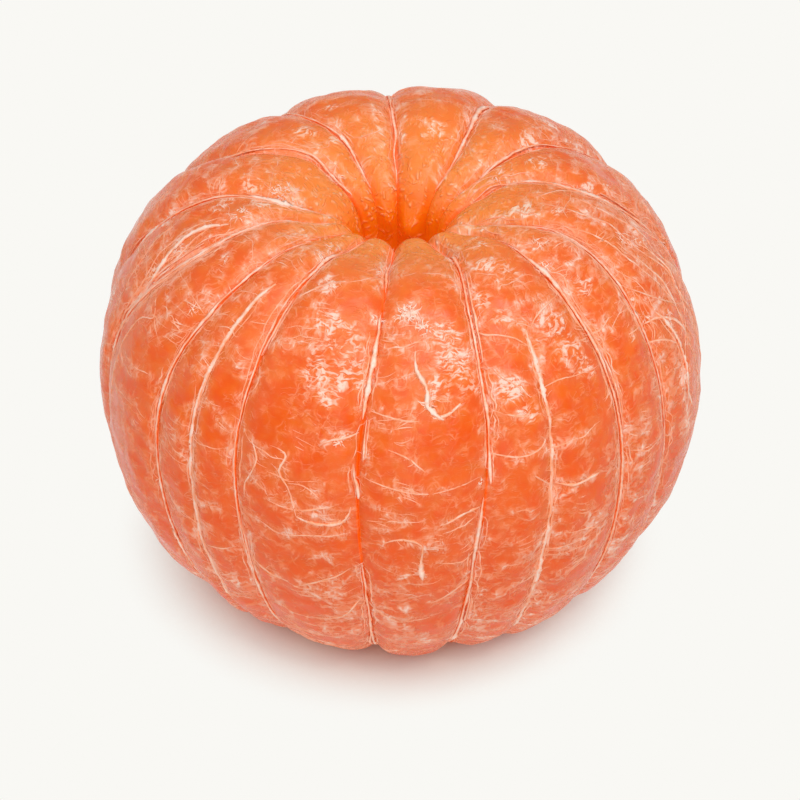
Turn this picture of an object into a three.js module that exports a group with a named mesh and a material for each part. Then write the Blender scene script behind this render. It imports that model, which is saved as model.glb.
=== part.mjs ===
// A peeled mandarin orange, whole: fourteen segments still standing in their ring round a hollow axis,
// with the main strings of pith left in the grooves between their backs.
// Millimetres, +Z up, the origin on the resting plane under the fruit's axis. An azimuth is 0 at -Y and
// grows towards +X. A latitude is the angle above or below the waist, as seen from the axis.
import * as THREE from "three";

// The fruit's profile: a superellipse above the waist and another below it, each with a dimple.
const RADIUS = 32; // the ring of grooves at its widest
const WAIST_HEIGHT = 23; // where it is widest, above the resting plane
const CROWN = { rise: 27.4, roundness: 0.9, dimple: { depth: 9.6, width: 12.4 } };
const FOOT = { rise: 30.4, roundness: 0.97, dimple: { depth: 9.5, width: 15.4 } };

// The hollow axis, and the parameters of the profile where a back turns over into it.
const THROAT = { radius: 4.4, height: 38.6 };
const FOOT_HOLE = { radius: 2.4, height: 4 };
const CROWN_TURN = 76; // degrees
const FOOT_TURN = -80;

// How a segment is rounded off towards its neighbours.
const GAP = 0.3; // clear space between two segments
const GROOVE_DEPTH = 2;
const EDGE_TO_WIDTH = 1.1; // a thin edge is rounded this deep for its half width
const EDGE_POWER = 2.6; // 2 is a round section, more is squarer
const DOME = 0.5; // how far the middle of a back stands above its quarters

// Grooves between the segments: the azimuth at each of these latitudes, and the string that lies there.
const GROOVE_LATITUDES = [-25, 20, 50, 66];
const GROOVES = [
  { azimuths: [-6, -8, -5, -5], string: 0.4 },
  { azimuths: [13, 18, 22, 29], string: 0.4 },
  { azimuths: [46, 49, 50, 54], string: 0.5 },
  { azimuths: [62, 64, 69, 67], string: 0.4 },
  { azimuths: [97, 98, 96, 106], string: 0.4 },
  { azimuths: [123, 123, 122, 121], string: 0.4 },
  { azimuths: [152, 152, 152, 145], string: 0.5 },
  { azimuths: [182, 182, 183, 182], string: 0.5 },
  { azimuths: [208, 209, 213, 207], string: 0.4 },
  { azimuths: [236, 238, 244, 228], string: 0.4 },
  { azimuths: [265, 265, 268, 274], string: 0.5 },
  { azimuths: [281, 282, 291, 287], string: 0.5 },
  { azimuths: [310, 305, 310, 309], string: 0.4 },
  { azimuths: [331, 326, 327, 327], string: 0.4 },
];

// Segment i lies between grooves i and i + 1. Its back swells past the ring of grooves, and two backs
// have a furrow along them, as where two segments have grown together: its place across the back,
// from -1 to 1, and its depth.
const SEGMENTS = [
  { swell: 0.5 },
  { swell: 0.5, furrow: { across: -0.14, depth: 1.3 } },
  { swell: 0.1 },
  { swell: 0.4 },
  { swell: 0.2 },
  { swell: 0.6 },
  { swell: 0.7 },
  { swell: 0.4 },
  { swell: 0.2 },
  { swell: 0.4 },
  { swell: 0.1 },
  { swell: 0.2 },
  { swell: 0.1, furrow: { across: 0, depth: 0.8 } },
  { swell: 0.4 },
];
const FURROW_WIDTH = 0.16; // of the half width
const FURROW_FADE = { from: 36, to: 44 }; // heights between which a furrow runs out

// The strings of pith, and the parameters of the profile that each kind spans.
const STRING_SINK = 0.55; // its middle, below the ring of grooves
const FURROW_STRING = { radius: 0.32, lift: 0.65 }; // its middle, above the furrow's floor
const STRING_SPAN = { from: 62, to: -38, steps: 20 };
const FURROW_STRING_SPAN = { from: 38, to: -34, steps: 16 };
const STRING_SIDES = 6;

// How finely the segments are divided.
const OUTLINE_POINTS = 41;
const BACK_POINTS = 27;
const RINGS = 8; // across a back

const { degToRad, radToDeg, lerp, smoothstep } = THREE.MathUtils;
const count = (n, make) => Array.from({ length: n }, (_, i) => make(i));

// A point at an azimuth in radians.
const turned = (azimuth, { x: radius, y: height }) =>
  new THREE.Vector3(radius * Math.sin(azimuth), -radius * Math.cos(azimuth), height);

// The point of the ring of grooves at a parameter of the profile in degrees, as (radius, height).
function profilePoint(parameter) {
  const half = parameter > 0 ? CROWN : FOOT;
  const angle = degToRad(Math.abs(parameter));
  const radius = RADIUS * Math.cos(angle) ** half.roundness;
  const dimple = half.dimple.depth * Math.exp(-((radius / half.dimple.width) ** 2));
  const rise = half.rise * Math.sin(angle) ** half.roundness - dimple;
  return new THREE.Vector2(radius, WAIST_HEIGHT + Math.sign(parameter) * rise);
}

const latitudeOf = (point) => radToDeg(Math.atan2(point.y - WAIST_HEIGHT, point.x));

// The azimuth of a groove at a point of the (radius, height) plane, in radians.
function grooveAzimuth({ azimuths }, point) {
  const along = new THREE.CubicInterpolant(GROOVE_LATITUDES, azimuths, 1);
  along.settings = { endingStart: THREE.ZeroSlopeEnding, endingEnd: THREE.ZeroSlopeEnding };
  return degToRad(along.evaluate(latitudeOf(point))[0]);
}

// The closed outline of a segment seen from its side: up the axis, over the crown, down the back and
// under the foot. Each station is a point of it and the direction from there into the flesh.
function outlineStations() {
  const back = count(BACK_POINTS, (i) =>
    profilePoint(lerp(CROWN_TURN, FOOT_TURN, i / (BACK_POINTS - 1))),
  );
  const top = back[0];
  const path = new THREE.Path();
  path.moveTo(FOOT_HOLE.radius, FOOT_HOLE.height);
  path.lineTo(THROAT.radius, THROAT.height);
  path.quadraticCurveTo(THROAT.radius + 0.3, top.y - 1.2, top.x, top.y);
  path.splineThru(back.slice(1));
  path.lineTo(FOOT_HOLE.radius, FOOT_HOLE.height);

  const points = path.getSpacedPoints(OUTLINE_POINTS).slice(0, -1);
  return points.map((point, i) => {
    const before = points.at(i - 1);
    const after = points[(i + 1) % points.length];
    const along = after.clone().sub(before).normalize();
    return { point, inward: new THREE.Vector2(along.y, -along.x) };
  });
}

// The middle azimuth of a segment at a point of the (radius, height) plane, and half its width there.
function sectorAt(left, right, point) {
  const from = grooveAzimuth(left, point);
  const to = grooveAzimuth(right, point);
  return { middle: (from + to) / 2, halfWidth: point.x * Math.tan((to - from) / 2) - GAP / 2 };
}

// Where the rings of a back lie, from -1 at its left wall to 1, closer together along a furrow.
function ringPlaces(furrow) {
  const places = count(RINGS + 1, (i) => {
    const sine = Math.sin((i / RINGS - 0.5) * Math.PI);
    return Math.sign(sine) * Math.abs(sine) ** (2 / EDGE_POWER);
  });
  if (!furrow) return places;
  const clear = places.filter((across) => Math.abs(across - furrow.across) > 2.5 * FURROW_WIDTH);
  const along = [-2, -1, 0, 1, 2].map((step) => furrow.across + step * FURROW_WIDTH);
  return [...clear, ...along].sort((a, b) => a - b);
}

// How deep a furrow is at a point of the (radius, height) plane.
const furrowDepth = (point, { depth }) =>
  depth * (1 - smoothstep(point.y, FURROW_FADE.from, FURROW_FADE.to));

// How far a segment's surface lies inside the ring of grooves.
function insetAt(point, across, halfWidth, { swell, furrow }) {
  const crown = (1 - Math.min(Math.abs(across), 1) ** EDGE_POWER) ** (1 / EDGE_POWER);
  const depth = Math.min(GROOVE_DEPTH, EDGE_TO_WIDTH * halfWidth);
  const onBack = smoothstep(point.x, THROAT.radius, RADIUS / 3);
  const inset = depth * (1 - crown) + onBack * (DOME * across ** 2 - swell * crown);
  if (!furrow) return inset;
  const near = Math.exp(-(((across - furrow.across) / FURROW_WIDTH) ** 2));
  return inset + onBack * near * furrowDepth(point, furrow);
}

// One segment: a ring of the outline at each place across it, and a fan of triangles on each wall.
function segmentGeometry(left, right, form, stations) {
  const place = (point, across) => {
    const { middle, halfWidth } = sectorAt(left, right, point);
    const azimuth = middle + Math.atan2(across * halfWidth, point.x);
    return turned(azimuth, { x: point.x, y: Math.max(point.y, 0) });
  };
  const places = ringPlaces(form.furrow);
  const vertices = places.flatMap((across) =>
    stations.map(({ point, inward }) => {
      const { halfWidth } = sectorAt(left, right, point);
      const inset = insetAt(point, across, halfWidth, form);
      return place(point.clone().addScaledVector(inward, inset), across);
    }),
  );

  const n = stations.length;
  const faces = [];
  for (let ring = 0; ring < places.length - 1; ring++) {
    for (let i = 0; i < n; i++) {
      const a = ring * n + i;
      const b = ring * n + ((i + 1) % n);
      faces.push(a, b, a + n, b, b + n, a + n);
    }
  }
  const hub = new THREE.Vector2(RADIUS / 2, WAIST_HEIGHT);
  const leftHub = vertices.push(place(hub, -1)) - 1;
  const rightHub = vertices.push(place(hub, 1)) - 1;
  const lastRing = (places.length - 1) * n;
  for (let i = 0; i < n; i++) {
    const next = (i + 1) % n;
    faces.push(next, i, leftHub);
    faces.push(lastRing + i, lastRing + next, rightHub);
  }

  const geometry = new THREE.BufferGeometry().setFromPoints(vertices).setIndex(faces);
  geometry.computeVertexNormals();
  return geometry;
}

// A string of pith down the profile. For a point of it, place gives the azimuth and the depth there.
function stringGeometry(radius, { from, to, steps }, place) {
  const hub = new THREE.Vector2(RADIUS / 2, WAIST_HEIGHT);
  const points = count(steps + 1, (i) => {
    const point = profilePoint(lerp(from, to, i / steps));
    const { azimuth, depth } = place(point);
    return turned(azimuth, point.lerp(hub, depth / point.distanceTo(hub)));
  });
  const section = new THREE.Shape(
    count(STRING_SIDES, (i) => {
      const angle = (i / STRING_SIDES) * 2 * Math.PI;
      return new THREE.Vector2(Math.cos(angle), Math.sin(angle)).multiplyScalar(radius);
    }),
  );
  const extrudePath = new THREE.CatmullRomCurve3(points);
  return new THREE.ExtrudeGeometry(section, { steps, extrudePath });
}

const grooveAfter = (i) => {
  const next = GROOVES[(i + 1) % GROOVES.length];
  return i + 1 < GROOVES.length ? next : { azimuths: next.azimuths.map((azimuth) => azimuth + 360) };
};
const numbered = (name, i) => `${name}_${String(i + 1).padStart(2, "0")}`;

const flesh = () => new THREE.MeshStandardMaterial({ color: 0xf47a3c, roughness: 0.35, metalness: 0 });
const pith = () => new THREE.MeshStandardMaterial({ color: 0xfbe4d2, roughness: 0.8, metalness: 0 });

const fruit = new THREE.Group();
function add(name, geometry, material) {
  const mesh = new THREE.Mesh(geometry, material);
  mesh.name = name;
  fruit.add(mesh);
}

const stations = outlineStations();
SEGMENTS.forEach((form, i) => {
  add(numbered("segment", i), segmentGeometry(GROOVES[i], grooveAfter(i), form, stations), flesh());
});

GROOVES.forEach((groove, i) => {
  const place = (point) => ({ azimuth: grooveAzimuth(groove, point), depth: STRING_SINK });
  add(numbered("pith_string", i), stringGeometry(groove.string, STRING_SPAN, place), pith());
});

SEGMENTS.forEach(({ swell, furrow }, i) => {
  if (!furrow) return;
  const place = (point) => {
    const { middle, halfWidth } = sectorAt(GROOVES[i], grooveAfter(i), point);
    const azimuth = middle + Math.atan2(furrow.across * halfWidth, point.x);
    return { azimuth, depth: furrowDepth(point, furrow) - swell - FURROW_STRING.lift };
  };
  const string = stringGeometry(FURROW_STRING.radius, FURROW_STRING_SPAN, place);
  add(numbered("furrow_string", i), string, pith());
});

export default fruit;
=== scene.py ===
import math
import random

import bpy
import numpy as np
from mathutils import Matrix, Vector


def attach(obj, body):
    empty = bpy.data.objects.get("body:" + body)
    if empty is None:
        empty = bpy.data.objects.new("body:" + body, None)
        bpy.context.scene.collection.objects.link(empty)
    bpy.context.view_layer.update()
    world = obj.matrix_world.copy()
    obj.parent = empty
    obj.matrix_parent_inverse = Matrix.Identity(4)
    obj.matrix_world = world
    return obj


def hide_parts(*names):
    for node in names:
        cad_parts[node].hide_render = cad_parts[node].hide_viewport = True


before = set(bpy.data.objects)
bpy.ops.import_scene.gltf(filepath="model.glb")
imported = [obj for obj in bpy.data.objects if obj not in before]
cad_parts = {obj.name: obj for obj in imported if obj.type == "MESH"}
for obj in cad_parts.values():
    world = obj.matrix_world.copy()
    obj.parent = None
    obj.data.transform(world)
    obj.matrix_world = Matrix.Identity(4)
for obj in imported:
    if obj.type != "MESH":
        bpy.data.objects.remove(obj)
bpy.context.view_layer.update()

mm = 0.001
segmentNodes = sorted(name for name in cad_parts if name.startswith("segment_"))
stringNodes = sorted(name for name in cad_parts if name.startswith("pith_string_"))
furrowNodes = sorted(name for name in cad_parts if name.startswith("furrow_string_"))

# The fruit in millimetres and degrees, as its solids have it. An azimuth is 0 at -Y and grows towards +X.
# A place on its skin is an azimuth and a turn: 0 at the waist, 90 on the axis at the crown and -90 at the
# foot.
fruit = {
    "radius": 32.0,
    "waist": 23.0,
    "crown": {"rise": 27.4, "roundness": 0.9, "dimple": 9.6, "dimpleWidth": 12.4},
    "foot": {"rise": 30.4, "roundness": 0.97, "dimple": 9.5, "dimpleWidth": 15.4},
    "throat": (4.4, 38.6),
    "footHole": (2.4, 4.0),
    "crownTurn": 76.0,
    "footTurn": -80.0,
    "grooveLatitudes": (-25, 20, 50, 66),
    "grooves": (
        (-6, -8, -5, -5), (13, 18, 22, 29), (46, 49, 50, 54), (62, 64, 69, 67), (97, 98, 96, 106),
        (123, 123, 122, 121), (152, 152, 152, 145), (182, 182, 183, 182), (208, 209, 213, 207),
        (236, 238, 244, 228), (265, 265, 268, 274), (281, 282, 291, 287), (310, 305, 310, 309),
        (331, 326, 327, 327),
    ),
    "swells": (0.5, 0.5, 0.1, 0.4, 0.2, 0.6, 0.7, 0.4, 0.2, 0.4, 0.1, 0.2, 0.1, 0.4),
    "frontRim": (5, 1.3, 6.2, 3.0),  # azimuth, rise, radius and width of the higher rim
    "frontRimFrom": (31, 38),  # heights between which it starts
    "frontRimSpread": 0.8,     # less is wider
    "tips": {6: (38.4, 1.3), 7: (39.2, 0.6)},  # segment: height and reach of its bulge into the hole
    "tipHeight": 1.5,
    "tipWithin": (5, 9),       # radii between which a bulge ends
    "furrows": {1: (-0.14, 0.8), 12: (0.0, 0.5)},  # segment: place across its back, depth
    "furrowWidth": 0.16,
    "furrowFade": (36.0, 44.0),
}


def toLinear(hexColour):
    channels = [int(hexColour[i:i + 2], 16) / 255 for i in (1, 3, 5)]
    linear = [c / 12.92 if c <= 0.04045 else ((c + 0.055) / 1.055) ** 2.4 for c in channels]
    return (*linear, 1.0)


def smoothStep(value, low, high):
    share = np.clip((value - low) / (high - low), 0, 1)
    return share * share * (3 - 2 * share)


def smoothThrough(knots, values, at):
    # A cubic through the knots, level at both ends.
    knots, values = np.array(knots, float), np.array(values, float)
    secants = np.diff(values) / np.diff(knots)
    slopes = np.concatenate([[0], (secants[1:] + secants[:-1]) / 2, [0]])
    at = np.clip(at, knots[0], knots[-1])
    i = np.clip(np.searchsorted(knots, at, side="right") - 1, 0, len(knots) - 2)
    span = knots[i + 1] - knots[i]
    p = (at - knots[i]) / span
    start = (1 + 2 * p) * (1 - p) ** 2 * values[i] + p * (1 - p) ** 2 * span * slopes[i]
    return start + p * p * (3 - 2 * p) * values[i + 1] - p * p * (1 - p) * span * slopes[i + 1]


def addNode(tree, kind, settings=None, inputs=None):
    node = tree.nodes.new(kind)
    for name, value in (settings or {}).items():
        setattr(node, name, value)
    for name, value in (inputs or {}).items():
        if isinstance(value, bpy.types.Node):
            value = next(socket for socket in value.outputs if socket.enabled)
        if isinstance(value, bpy.types.NodeSocket):
            tree.links.new(value, node.inputs[name])
        else:
            node.inputs[name].default_value = value
    return node


# Settings that many nodes share.
smooth = {"interpolation_type": "SMOOTHSTEP"}
times = {"operation": "MULTIPLY"}
timesPlus = {"operation": "MULTIPLY_ADD"}
minus = {"operation": "SUBTRACT"}


def newMaterial(name):
    material = bpy.data.materials.new(name)
    material.use_nodes = True
    return material, material.node_tree, material.node_tree.nodes["Principled BSDF"]


def newGeometryTree(name, inputs):
    tree = bpy.data.node_groups.new(name, "GeometryNodeTree")
    tree.interface.new_socket("Geometry", in_out="INPUT", socket_type="NodeSocketGeometry")
    for label, kind in inputs.items():
        tree.interface.new_socket(label, in_out="INPUT", socket_type="NodeSocket" + kind)
    tree.interface.new_socket("Geometry", in_out="OUTPUT", socket_type="NodeSocketGeometry")
    return tree, tree.nodes.new("NodeGroupInput").outputs


def keepAboveTable(tree, mesh):
    level = addNode(tree, "ShaderNodeVectorMath", {"operation": "MAXIMUM"},
                    {0: addNode(tree, "GeometryNodeInputPosition"), 1: (-1.0, -1.0, 0.0)})
    return addNode(tree, "GeometryNodeSetPosition", None, {"Geometry": mesh, "Position": level})


def endTree(tree, mesh, material):
    mesh = addNode(tree, "GeometryNodeRealizeInstances", None, {0: mesh})
    mesh = addNode(tree, "GeometryNodeSetMaterial", None, {"Geometry": mesh, "Material": material})
    addNode(tree, "NodeGroupOutput", None, {"Geometry": mesh})
    return tree


def grow(name, mesh, tree, values):
    # Runs a tree on a mesh and keeps what grows from it as a plain mesh.
    piece = bpy.data.objects.new(name, mesh)
    bpy.context.collection.objects.link(piece)
    modifier = piece.modifiers.new("nodes", "NODES")
    modifier.node_group = tree
    for item in tree.interface.items_tree:
        if item.in_out == "INPUT" and item.name in values:
            modifier[item.identifier] = values[item.name]
    grown = bpy.data.meshes.new_from_object(piece.evaluated_get(bpy.context.evaluated_depsgraph_get()))
    piece.modifiers.remove(modifier)
    piece.data = grown
    grown.name = name
    return piece


def profile(turn):
    angle = np.radians(np.abs(turn))
    upper = np.asarray(turn) > 0
    pick = lambda key: np.where(upper, fruit["crown"][key], fruit["foot"][key])
    radius = fruit["radius"] * np.cos(angle) ** pick("roundness")
    rise = pick("rise") * np.sin(angle) ** pick("roundness")
    rise = rise - pick("dimple") * np.exp(-(radius / pick("dimpleWidth")) ** 2)
    return radius, fruit["waist"] + np.sign(turn) * rise


def rimRise(azimuth, radius, height):
    # The rim of the hole stands higher in front.
    front, rise, ring, width = fruit["frontRim"]
    facing = np.maximum(np.cos(azimuth - math.radians(front)), 0) ** fruit["frontRimSpread"]
    started = smoothStep(height, *fruit["frontRimFrom"])
    return rise * facing * np.exp(-((radius - ring) / width) ** 2) * started


def grooveAzimuth(index, radius, height):
    latitude = np.degrees(np.arctan2(height - fruit["waist"], radius))
    turns, place = divmod(index, len(fruit["grooves"]))
    azimuth = smoothThrough(fruit["grooveLatitudes"], fruit["grooves"][place], latitude)
    return np.radians(azimuth + 360 * turns)


# The skin of each segment: a closed pillow, whose back is a fine grid.
skin = {
    "gap": 0.02,             # between two segments
    "grooveDepth": 0.5,
    "edgeToWidth": 0.34,
    "edgePower": 4.5,        # more is flatter, with tighter edges
    "rimReach": (7.5, 12.5),  # radii between which the grooves change towards the rim of the hole
    "rimDepth": 0.7,         # how much deeper they are there
    "rimShare": 0.3,         # how much more of the width they take
    "rimRounding": 1.5,      # and how much rounder the edges are
    "dome": 0.4,
    "spacing": 0.38,         # of the grid
    "columns": 46,
    "crowding": 0.25,        # of the columns towards the steep edges
    "unseenRows": (22, 10),  # down the core, and under the foot
    "patternShift": 37.0,    # sets the patterns of two segments apart
    "wallRings": (0.03, 0.08, 0.2, 0.45),
    # Where two segments part: groove, height, half length, how far.
    "partings": ((0, 42.5, 1.6, 0.08), (0, 29.0, 7.6, 0.06), (1, 25.0, 2.6, 0.08), (1, 14.5, 2.4, 0.08)),
}


def gapAt(index, height, parted):
    gap = skin["gap"] + 0 * height
    for groove, middle, half, width in skin["partings"]:
        if groove == index % len(fruit["grooves"]):
            gap = gap + parted * width * np.exp(-((height - middle) / half) ** 4)
    return gap


def sectorAt(index, radius, height, parted=1.0):
    start = grooveAzimuth(index, radius, height) + gapAt(index, height, parted) / 2 / radius
    end = grooveAzimuth(index + 1, radius, height) - gapAt(index + 1, height, parted) / 2 / radius
    return (start + end) / 2, radius * np.tan((end - start) / 2)


def furrowAt(index, across, height):
    if index not in fruit["furrows"]:
        return 0.0
    place, depth = fruit["furrows"][index]
    near = np.exp(-((across - place) / fruit["furrowWidth"]) ** 2)
    return depth * near * (1 - smoothStep(height, *fruit["furrowFade"]))


def insetAt(index, radius, height, across, halfWidth):
    rimward = 1 - smoothStep(radius, *skin["rimReach"])
    crown = 1 - np.minimum(np.abs(across), 1) ** (skin["edgePower"] - skin["rimRounding"] * rimward)
    depth = np.minimum(skin["grooveDepth"] + skin["rimDepth"] * rimward,
                       (skin["edgeToWidth"] + skin["rimShare"] * rimward) * halfWidth)
    onBack = smoothStep(radius, fruit["throat"][0], fruit["radius"] / 3)
    swell = fruit["swells"][index]
    furrow = furrowAt(index, across, height)
    middle, tip = fruit["tips"].get(index, (0, 0))
    tip = tip * crown * np.exp(-((height - middle) / fruit["tipHeight"]) ** 2)
    bulge = tip * (1 - smoothStep(radius, *fruit["tipWithin"]))
    return depth * (1 - crown) + onBack * (skin["dome"] * across ** 2 - swell * crown + furrow) - bulge


def roundAxis(azimuth, radius, height):
    return np.stack([radius * np.sin(azimuth), -radius * np.cos(azimuth), height], -1)


def placed(index, radius, height, across, parted=1.0):
    middle, halfWidth = sectorAt(index, radius, height, parted)
    azimuth = middle + np.arctan2(across * halfWidth, radius)
    return roundAxis(azimuth, radius, np.maximum(height, 0) + rimRise(azimuth, radius, height))


def segmentOutline():
    # The section from the axis: up the core, over the rim, down the back and under the foot.
    backR, backZ = profile(np.linspace(fruit["crownTurn"], fruit["footTurn"], 400))
    throat, hole = np.array(fruit["throat"]), np.array(fruit["footHole"])
    top = np.array([backR[0], backZ[0]])
    control = np.array([throat[0] + 0.3, top[1] - 1.2])
    t = np.linspace(0, 1, 60)[:, None]
    rim = (1 - t) ** 2 * throat + 2 * t * (1 - t) * control + t * t * top
    core = np.linspace(hole, throat, 60)[:-1]
    back = np.stack([backR, backZ], -1)[1:]
    under = np.linspace(back[-1], hole, 40)[1:-1]
    path = np.concatenate([core, rim, back, under])
    step = np.linalg.norm(np.diff(path, axis=0, append=path[:1]), axis=1)
    length = np.concatenate([[0], np.cumsum(step)])
    closed = np.concatenate([path, path[:1]])
    seenFrom = length[len(core) - 20]
    backEnd = length[len(core) + len(rim) + len(back) - 1]
    marks = np.concatenate([
        np.linspace(0, seenFrom, skin["unseenRows"][0])[:-1],
        np.linspace(seenFrom, backEnd, int((backEnd - seenFrom) / skin["spacing"])),
        np.linspace(backEnd, length[-1], skin["unseenRows"][1])[1:-1],
    ])
    radius = np.interp(marks, length, closed[:, 0])
    height = np.interp(marks, length, closed[:, 1])
    for _ in range(3):  # rounds the corners
        radius = (np.roll(radius, 1) + 2 * radius + np.roll(radius, -1)) / 4
        height = (np.roll(height, 1) + 2 * height + np.roll(height, -1)) / 4
    alongR = np.roll(radius, -1) - np.roll(radius, 1)
    alongZ = np.roll(height, -1) - np.roll(height, 1)
    size = np.hypot(alongR, alongZ)
    return radius, height, alongZ / size, -alongR / size, marks


def backColumns():
    even = np.linspace(-1, 1, skin["columns"])
    return even * (1 + skin["crowding"] - skin["crowding"] * even ** 2)


def segmentMesh(index, name):
    radius, height, inR, inZ, along = segmentOutline()
    columns = backColumns()
    rows, cols = len(radius), len(columns)
    halfWidth = sectorAt(index, radius, height)[1]
    R, Z, H, across = radius[:, None], height[:, None], halfWidth[:, None], columns[None, :]
    inset = insetAt(index, R, Z, across, H)
    back = placed(index, R + inR[:, None] * inset, Z + inZ[:, None] * inset, across)
    shift = index * skin["patternShift"]
    skinMap = np.stack(np.broadcast_arrays(along[:, None], across * H, shift), -1)
    edge = (1 - np.abs(across)) * H

    # Flat walls lead from both edges of the back to a hub deep inside, in a few rings.
    hubR, hubZ = fruit["radius"] / 2, fruit["waist"]
    walls, hubs = [], []
    for side in (-1.0, 1.0):
        rimInset = insetAt(index, radius, height, np.full(rows, side), halfWidth)
        rimR, rimZ = radius + inR * rimInset, height + inZ * rimInset
        walls.append([placed(index, rimR + (hubR - rimR) * share, rimZ + (hubZ - rimZ) * share, side,
                             max(1 - share / skin["wallRings"][0], 0)) for share in skin["wallRings"]])
        hubs.append(placed(index, np.array(hubR), np.array(hubZ), side))
    rings = len(skin["wallRings"])
    points = np.concatenate([np.stack(walls[0][::-1], 1), back, np.stack(walls[1], 1)], axis=1)
    skinMap = np.concatenate(
        [np.repeat(skinMap[:, :1], rings, 1), skinMap, np.repeat(skinMap[:, -1:], rings, 1)], axis=1)
    edge = np.pad(edge, ((0, 0), (rings, rings)))
    vertices = np.concatenate([points.reshape(-1, 3), hubs])

    total = cols + 2 * rings
    row = np.arange(rows)
    nextRow = (row + 1) % rows
    a = (row[:, None] * total + np.arange(total - 1)).ravel()
    b = (nextRow[:, None] * total + np.arange(total - 1)).ravel()
    quads = np.stack([a, b, b + 1, a + 1], -1)
    leftHub = np.full(rows, rows * total)
    leftFan = np.stack([nextRow * total, row * total, leftHub], -1)
    rightFan = np.stack([row * total + total - 1, nextRow * total + total - 1, leftHub + 1], -1)
    mesh = bpy.data.meshes.new(name)
    mesh.from_pydata((vertices * mm).tolist(), [], quads.tolist() + leftFan.tolist() + rightFan.tolist())
    atHubs = np.array([[0, 0, shift]] * 2)
    writeAttribute(mesh, "skinMap", "FLOAT_VECTOR", np.concatenate([skinMap.reshape(-1, 3), atHubs]))
    writeAttribute(mesh, "edge", "FLOAT", np.concatenate([edge.ravel(), [0, 0]]))
    writeAttribute(mesh, "crinkle", "FLOAT", crinkleAt(vertices))
    mesh.shade_smooth()
    return mesh


def writeAttribute(mesh, name, kind, values):
    field = "vector" if kind == "FLOAT_VECTOR" else "value"
    data = mesh.attributes.new(name, kind, "POINT").data
    data.foreach_set(field, np.asarray(values, np.float32).ravel())


# Where the membrane is slack and crinkled: azimuth, turn, radius.
crinkles = {
    "seed": 5,
    "more": 50,
    "spots": (
        (-19, 49, 1.8), (-14, 46, 2.2), (-12, 39, 2.2), (-18, 38, 2.0), (-15, 33, 1.4), (12, 47, 2.0),
        (13, 41, 2.0), (9, 36, 1.6), (15, 36, 1.4), (25, 54, 1.3), (28, 48, 1.4), (40, 42, 2.0),
        (41, 36, 2.0), (43, 31, 1.4), (24, 33, 1.6), (27, 27, 1.4), (33, 62, 1.4), (38, 58, 1.2),
        (56, 46, 1.4), (-24, 58, 1.4),
    ),
}


def skinPoints(azimuth, turn):
    azimuth = np.radians(azimuth)
    radius, height = profile(turn)
    return roundAxis(azimuth, radius, height + rimRise(azimuth, radius, height))


def crinkleAt(points):
    rng = random.Random(crinkles["seed"])
    spots = list(crinkles["spots"])
    for _ in range(crinkles["more"]):
        spots.append((rng.uniform(65, 280), rng.uniform(-40, 70), rng.uniform(0.8, 1.7)))
    spots = np.array(spots, float)
    amount = np.zeros(len(points))
    for centre, size in zip(skinPoints(spots[:, 0], spots[:, 1]), spots[:, 2]):
        away = np.linalg.norm(points - centre, axis=1) / size
        amount = np.maximum(amount, np.exp(-away ** 2 * 0.7))
    return amount


# Pith, in millimetres and degrees.
pith = {
    "seed": 11,
    "slimness": 0.72,
    "thickness": 0.28,       # to width
    "waver": 0.1,
    "waverSize": 1.6,
    "uneven": (0.6, 1.3),    # least and most of its width
    "fray": 0.6,             # of a strand's half width
    "frayGrain": 2600.0,     # of a noise: cycles for each metre
    "knots": 0.45,           # between the points of a course
    "step": 0.28,            # between the rings of a strand, and its sides
    "sides": 5,
    "backStep": 0.32,        # and the same of the veins on the backs
    "backSides": 4,
    "bottom": -72,           # turn at which the strings end
    "overRim": 71,           # strings that start above this turn go on over the rim
    "rimTurns": (80.5, 78),  # and end there, between these turns
    "rimWidth": 0.08,
    "sunk": 0.02,
    "lift": 0.35,            # out of a groove, of its depth
    "hairs": 1.2,            # side hairs for each millimetre of strand
    "hairReach": (0.25, 0.9),
    "hairWidth": (0.07, 0.15),
    "hairSlope": 1.6,        # lengthwise, for each part across
    "beside": 0.8,           # fibres beside a strand, for each millimetre of it
    "besideReach": (2.0, 6.5),
    "besideWidth": (0.1, 0.3),
    "bundles": {2: 1.5, 3: 2.2, 4: 2.6, 9: 1.3, 10: 1.4, 11: 2.0, 12: 1.3},  # grooves that have more
    "white": {"strand": 0.12, "hair": 0.05, "fibre": 0.1, "vein": 0.12, "clot": 1.2},  # for their width
    "thinColour": "#FBA276",
    "thickColour": "#FFDDCC",
    "ownWhite": 0.7,
    "pale": (0.06, 0.6),     # half widths from which a strand pales, and at which it is palest
    "core": (0.9, 0.3, -0.3, 0.35),  # parts of the half width, and how much paler at each
    "blotchGrain": 700.0,
    "mottling": (2.0, -1.1),  # how strong the noise is, and what is added to it
    "fibreGrain": 3500.0,
    "streaking": (1.4, -0.7),
    "bump": 0.7,
    "bumpDepth": 0.08,
    "glow": "#FF7A30",       # painted glow at the thin edges, which lightens them where they lie in shade; it stands for flesh light through them
    "thinEdge": (0.45, 1.05),  # parts of the half width between which it grows
    "paintedGlowStrength": 0.24,
    "roughness": 0.5,
}


def skinDepth(azimuth, radius, height):
    # How far the real back lies under the plain profile, at an azimuth in degrees.
    grooves = np.degrees([grooveAzimuth(i, radius, height) for i in range(len(fruit["grooves"]) + 1)])
    azimuth = grooves[0] + (azimuth - grooves[0]) % 360
    index = np.clip((azimuth >= grooves).sum(0) - 1, 0, len(fruit["grooves"]) - 1)
    depth = np.zeros_like(radius)
    for i in np.unique(index):
        here = index == i
        middle, halfWidth = sectorAt(i, radius[here], height[here])
        across = radius[here] * np.tan(np.radians(azimuth[here]) - middle) / halfWidth
        depth[here] = insetAt(i, radius[here], height[here], np.clip(across, -1, 1), halfWidth)
    return depth


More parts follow.
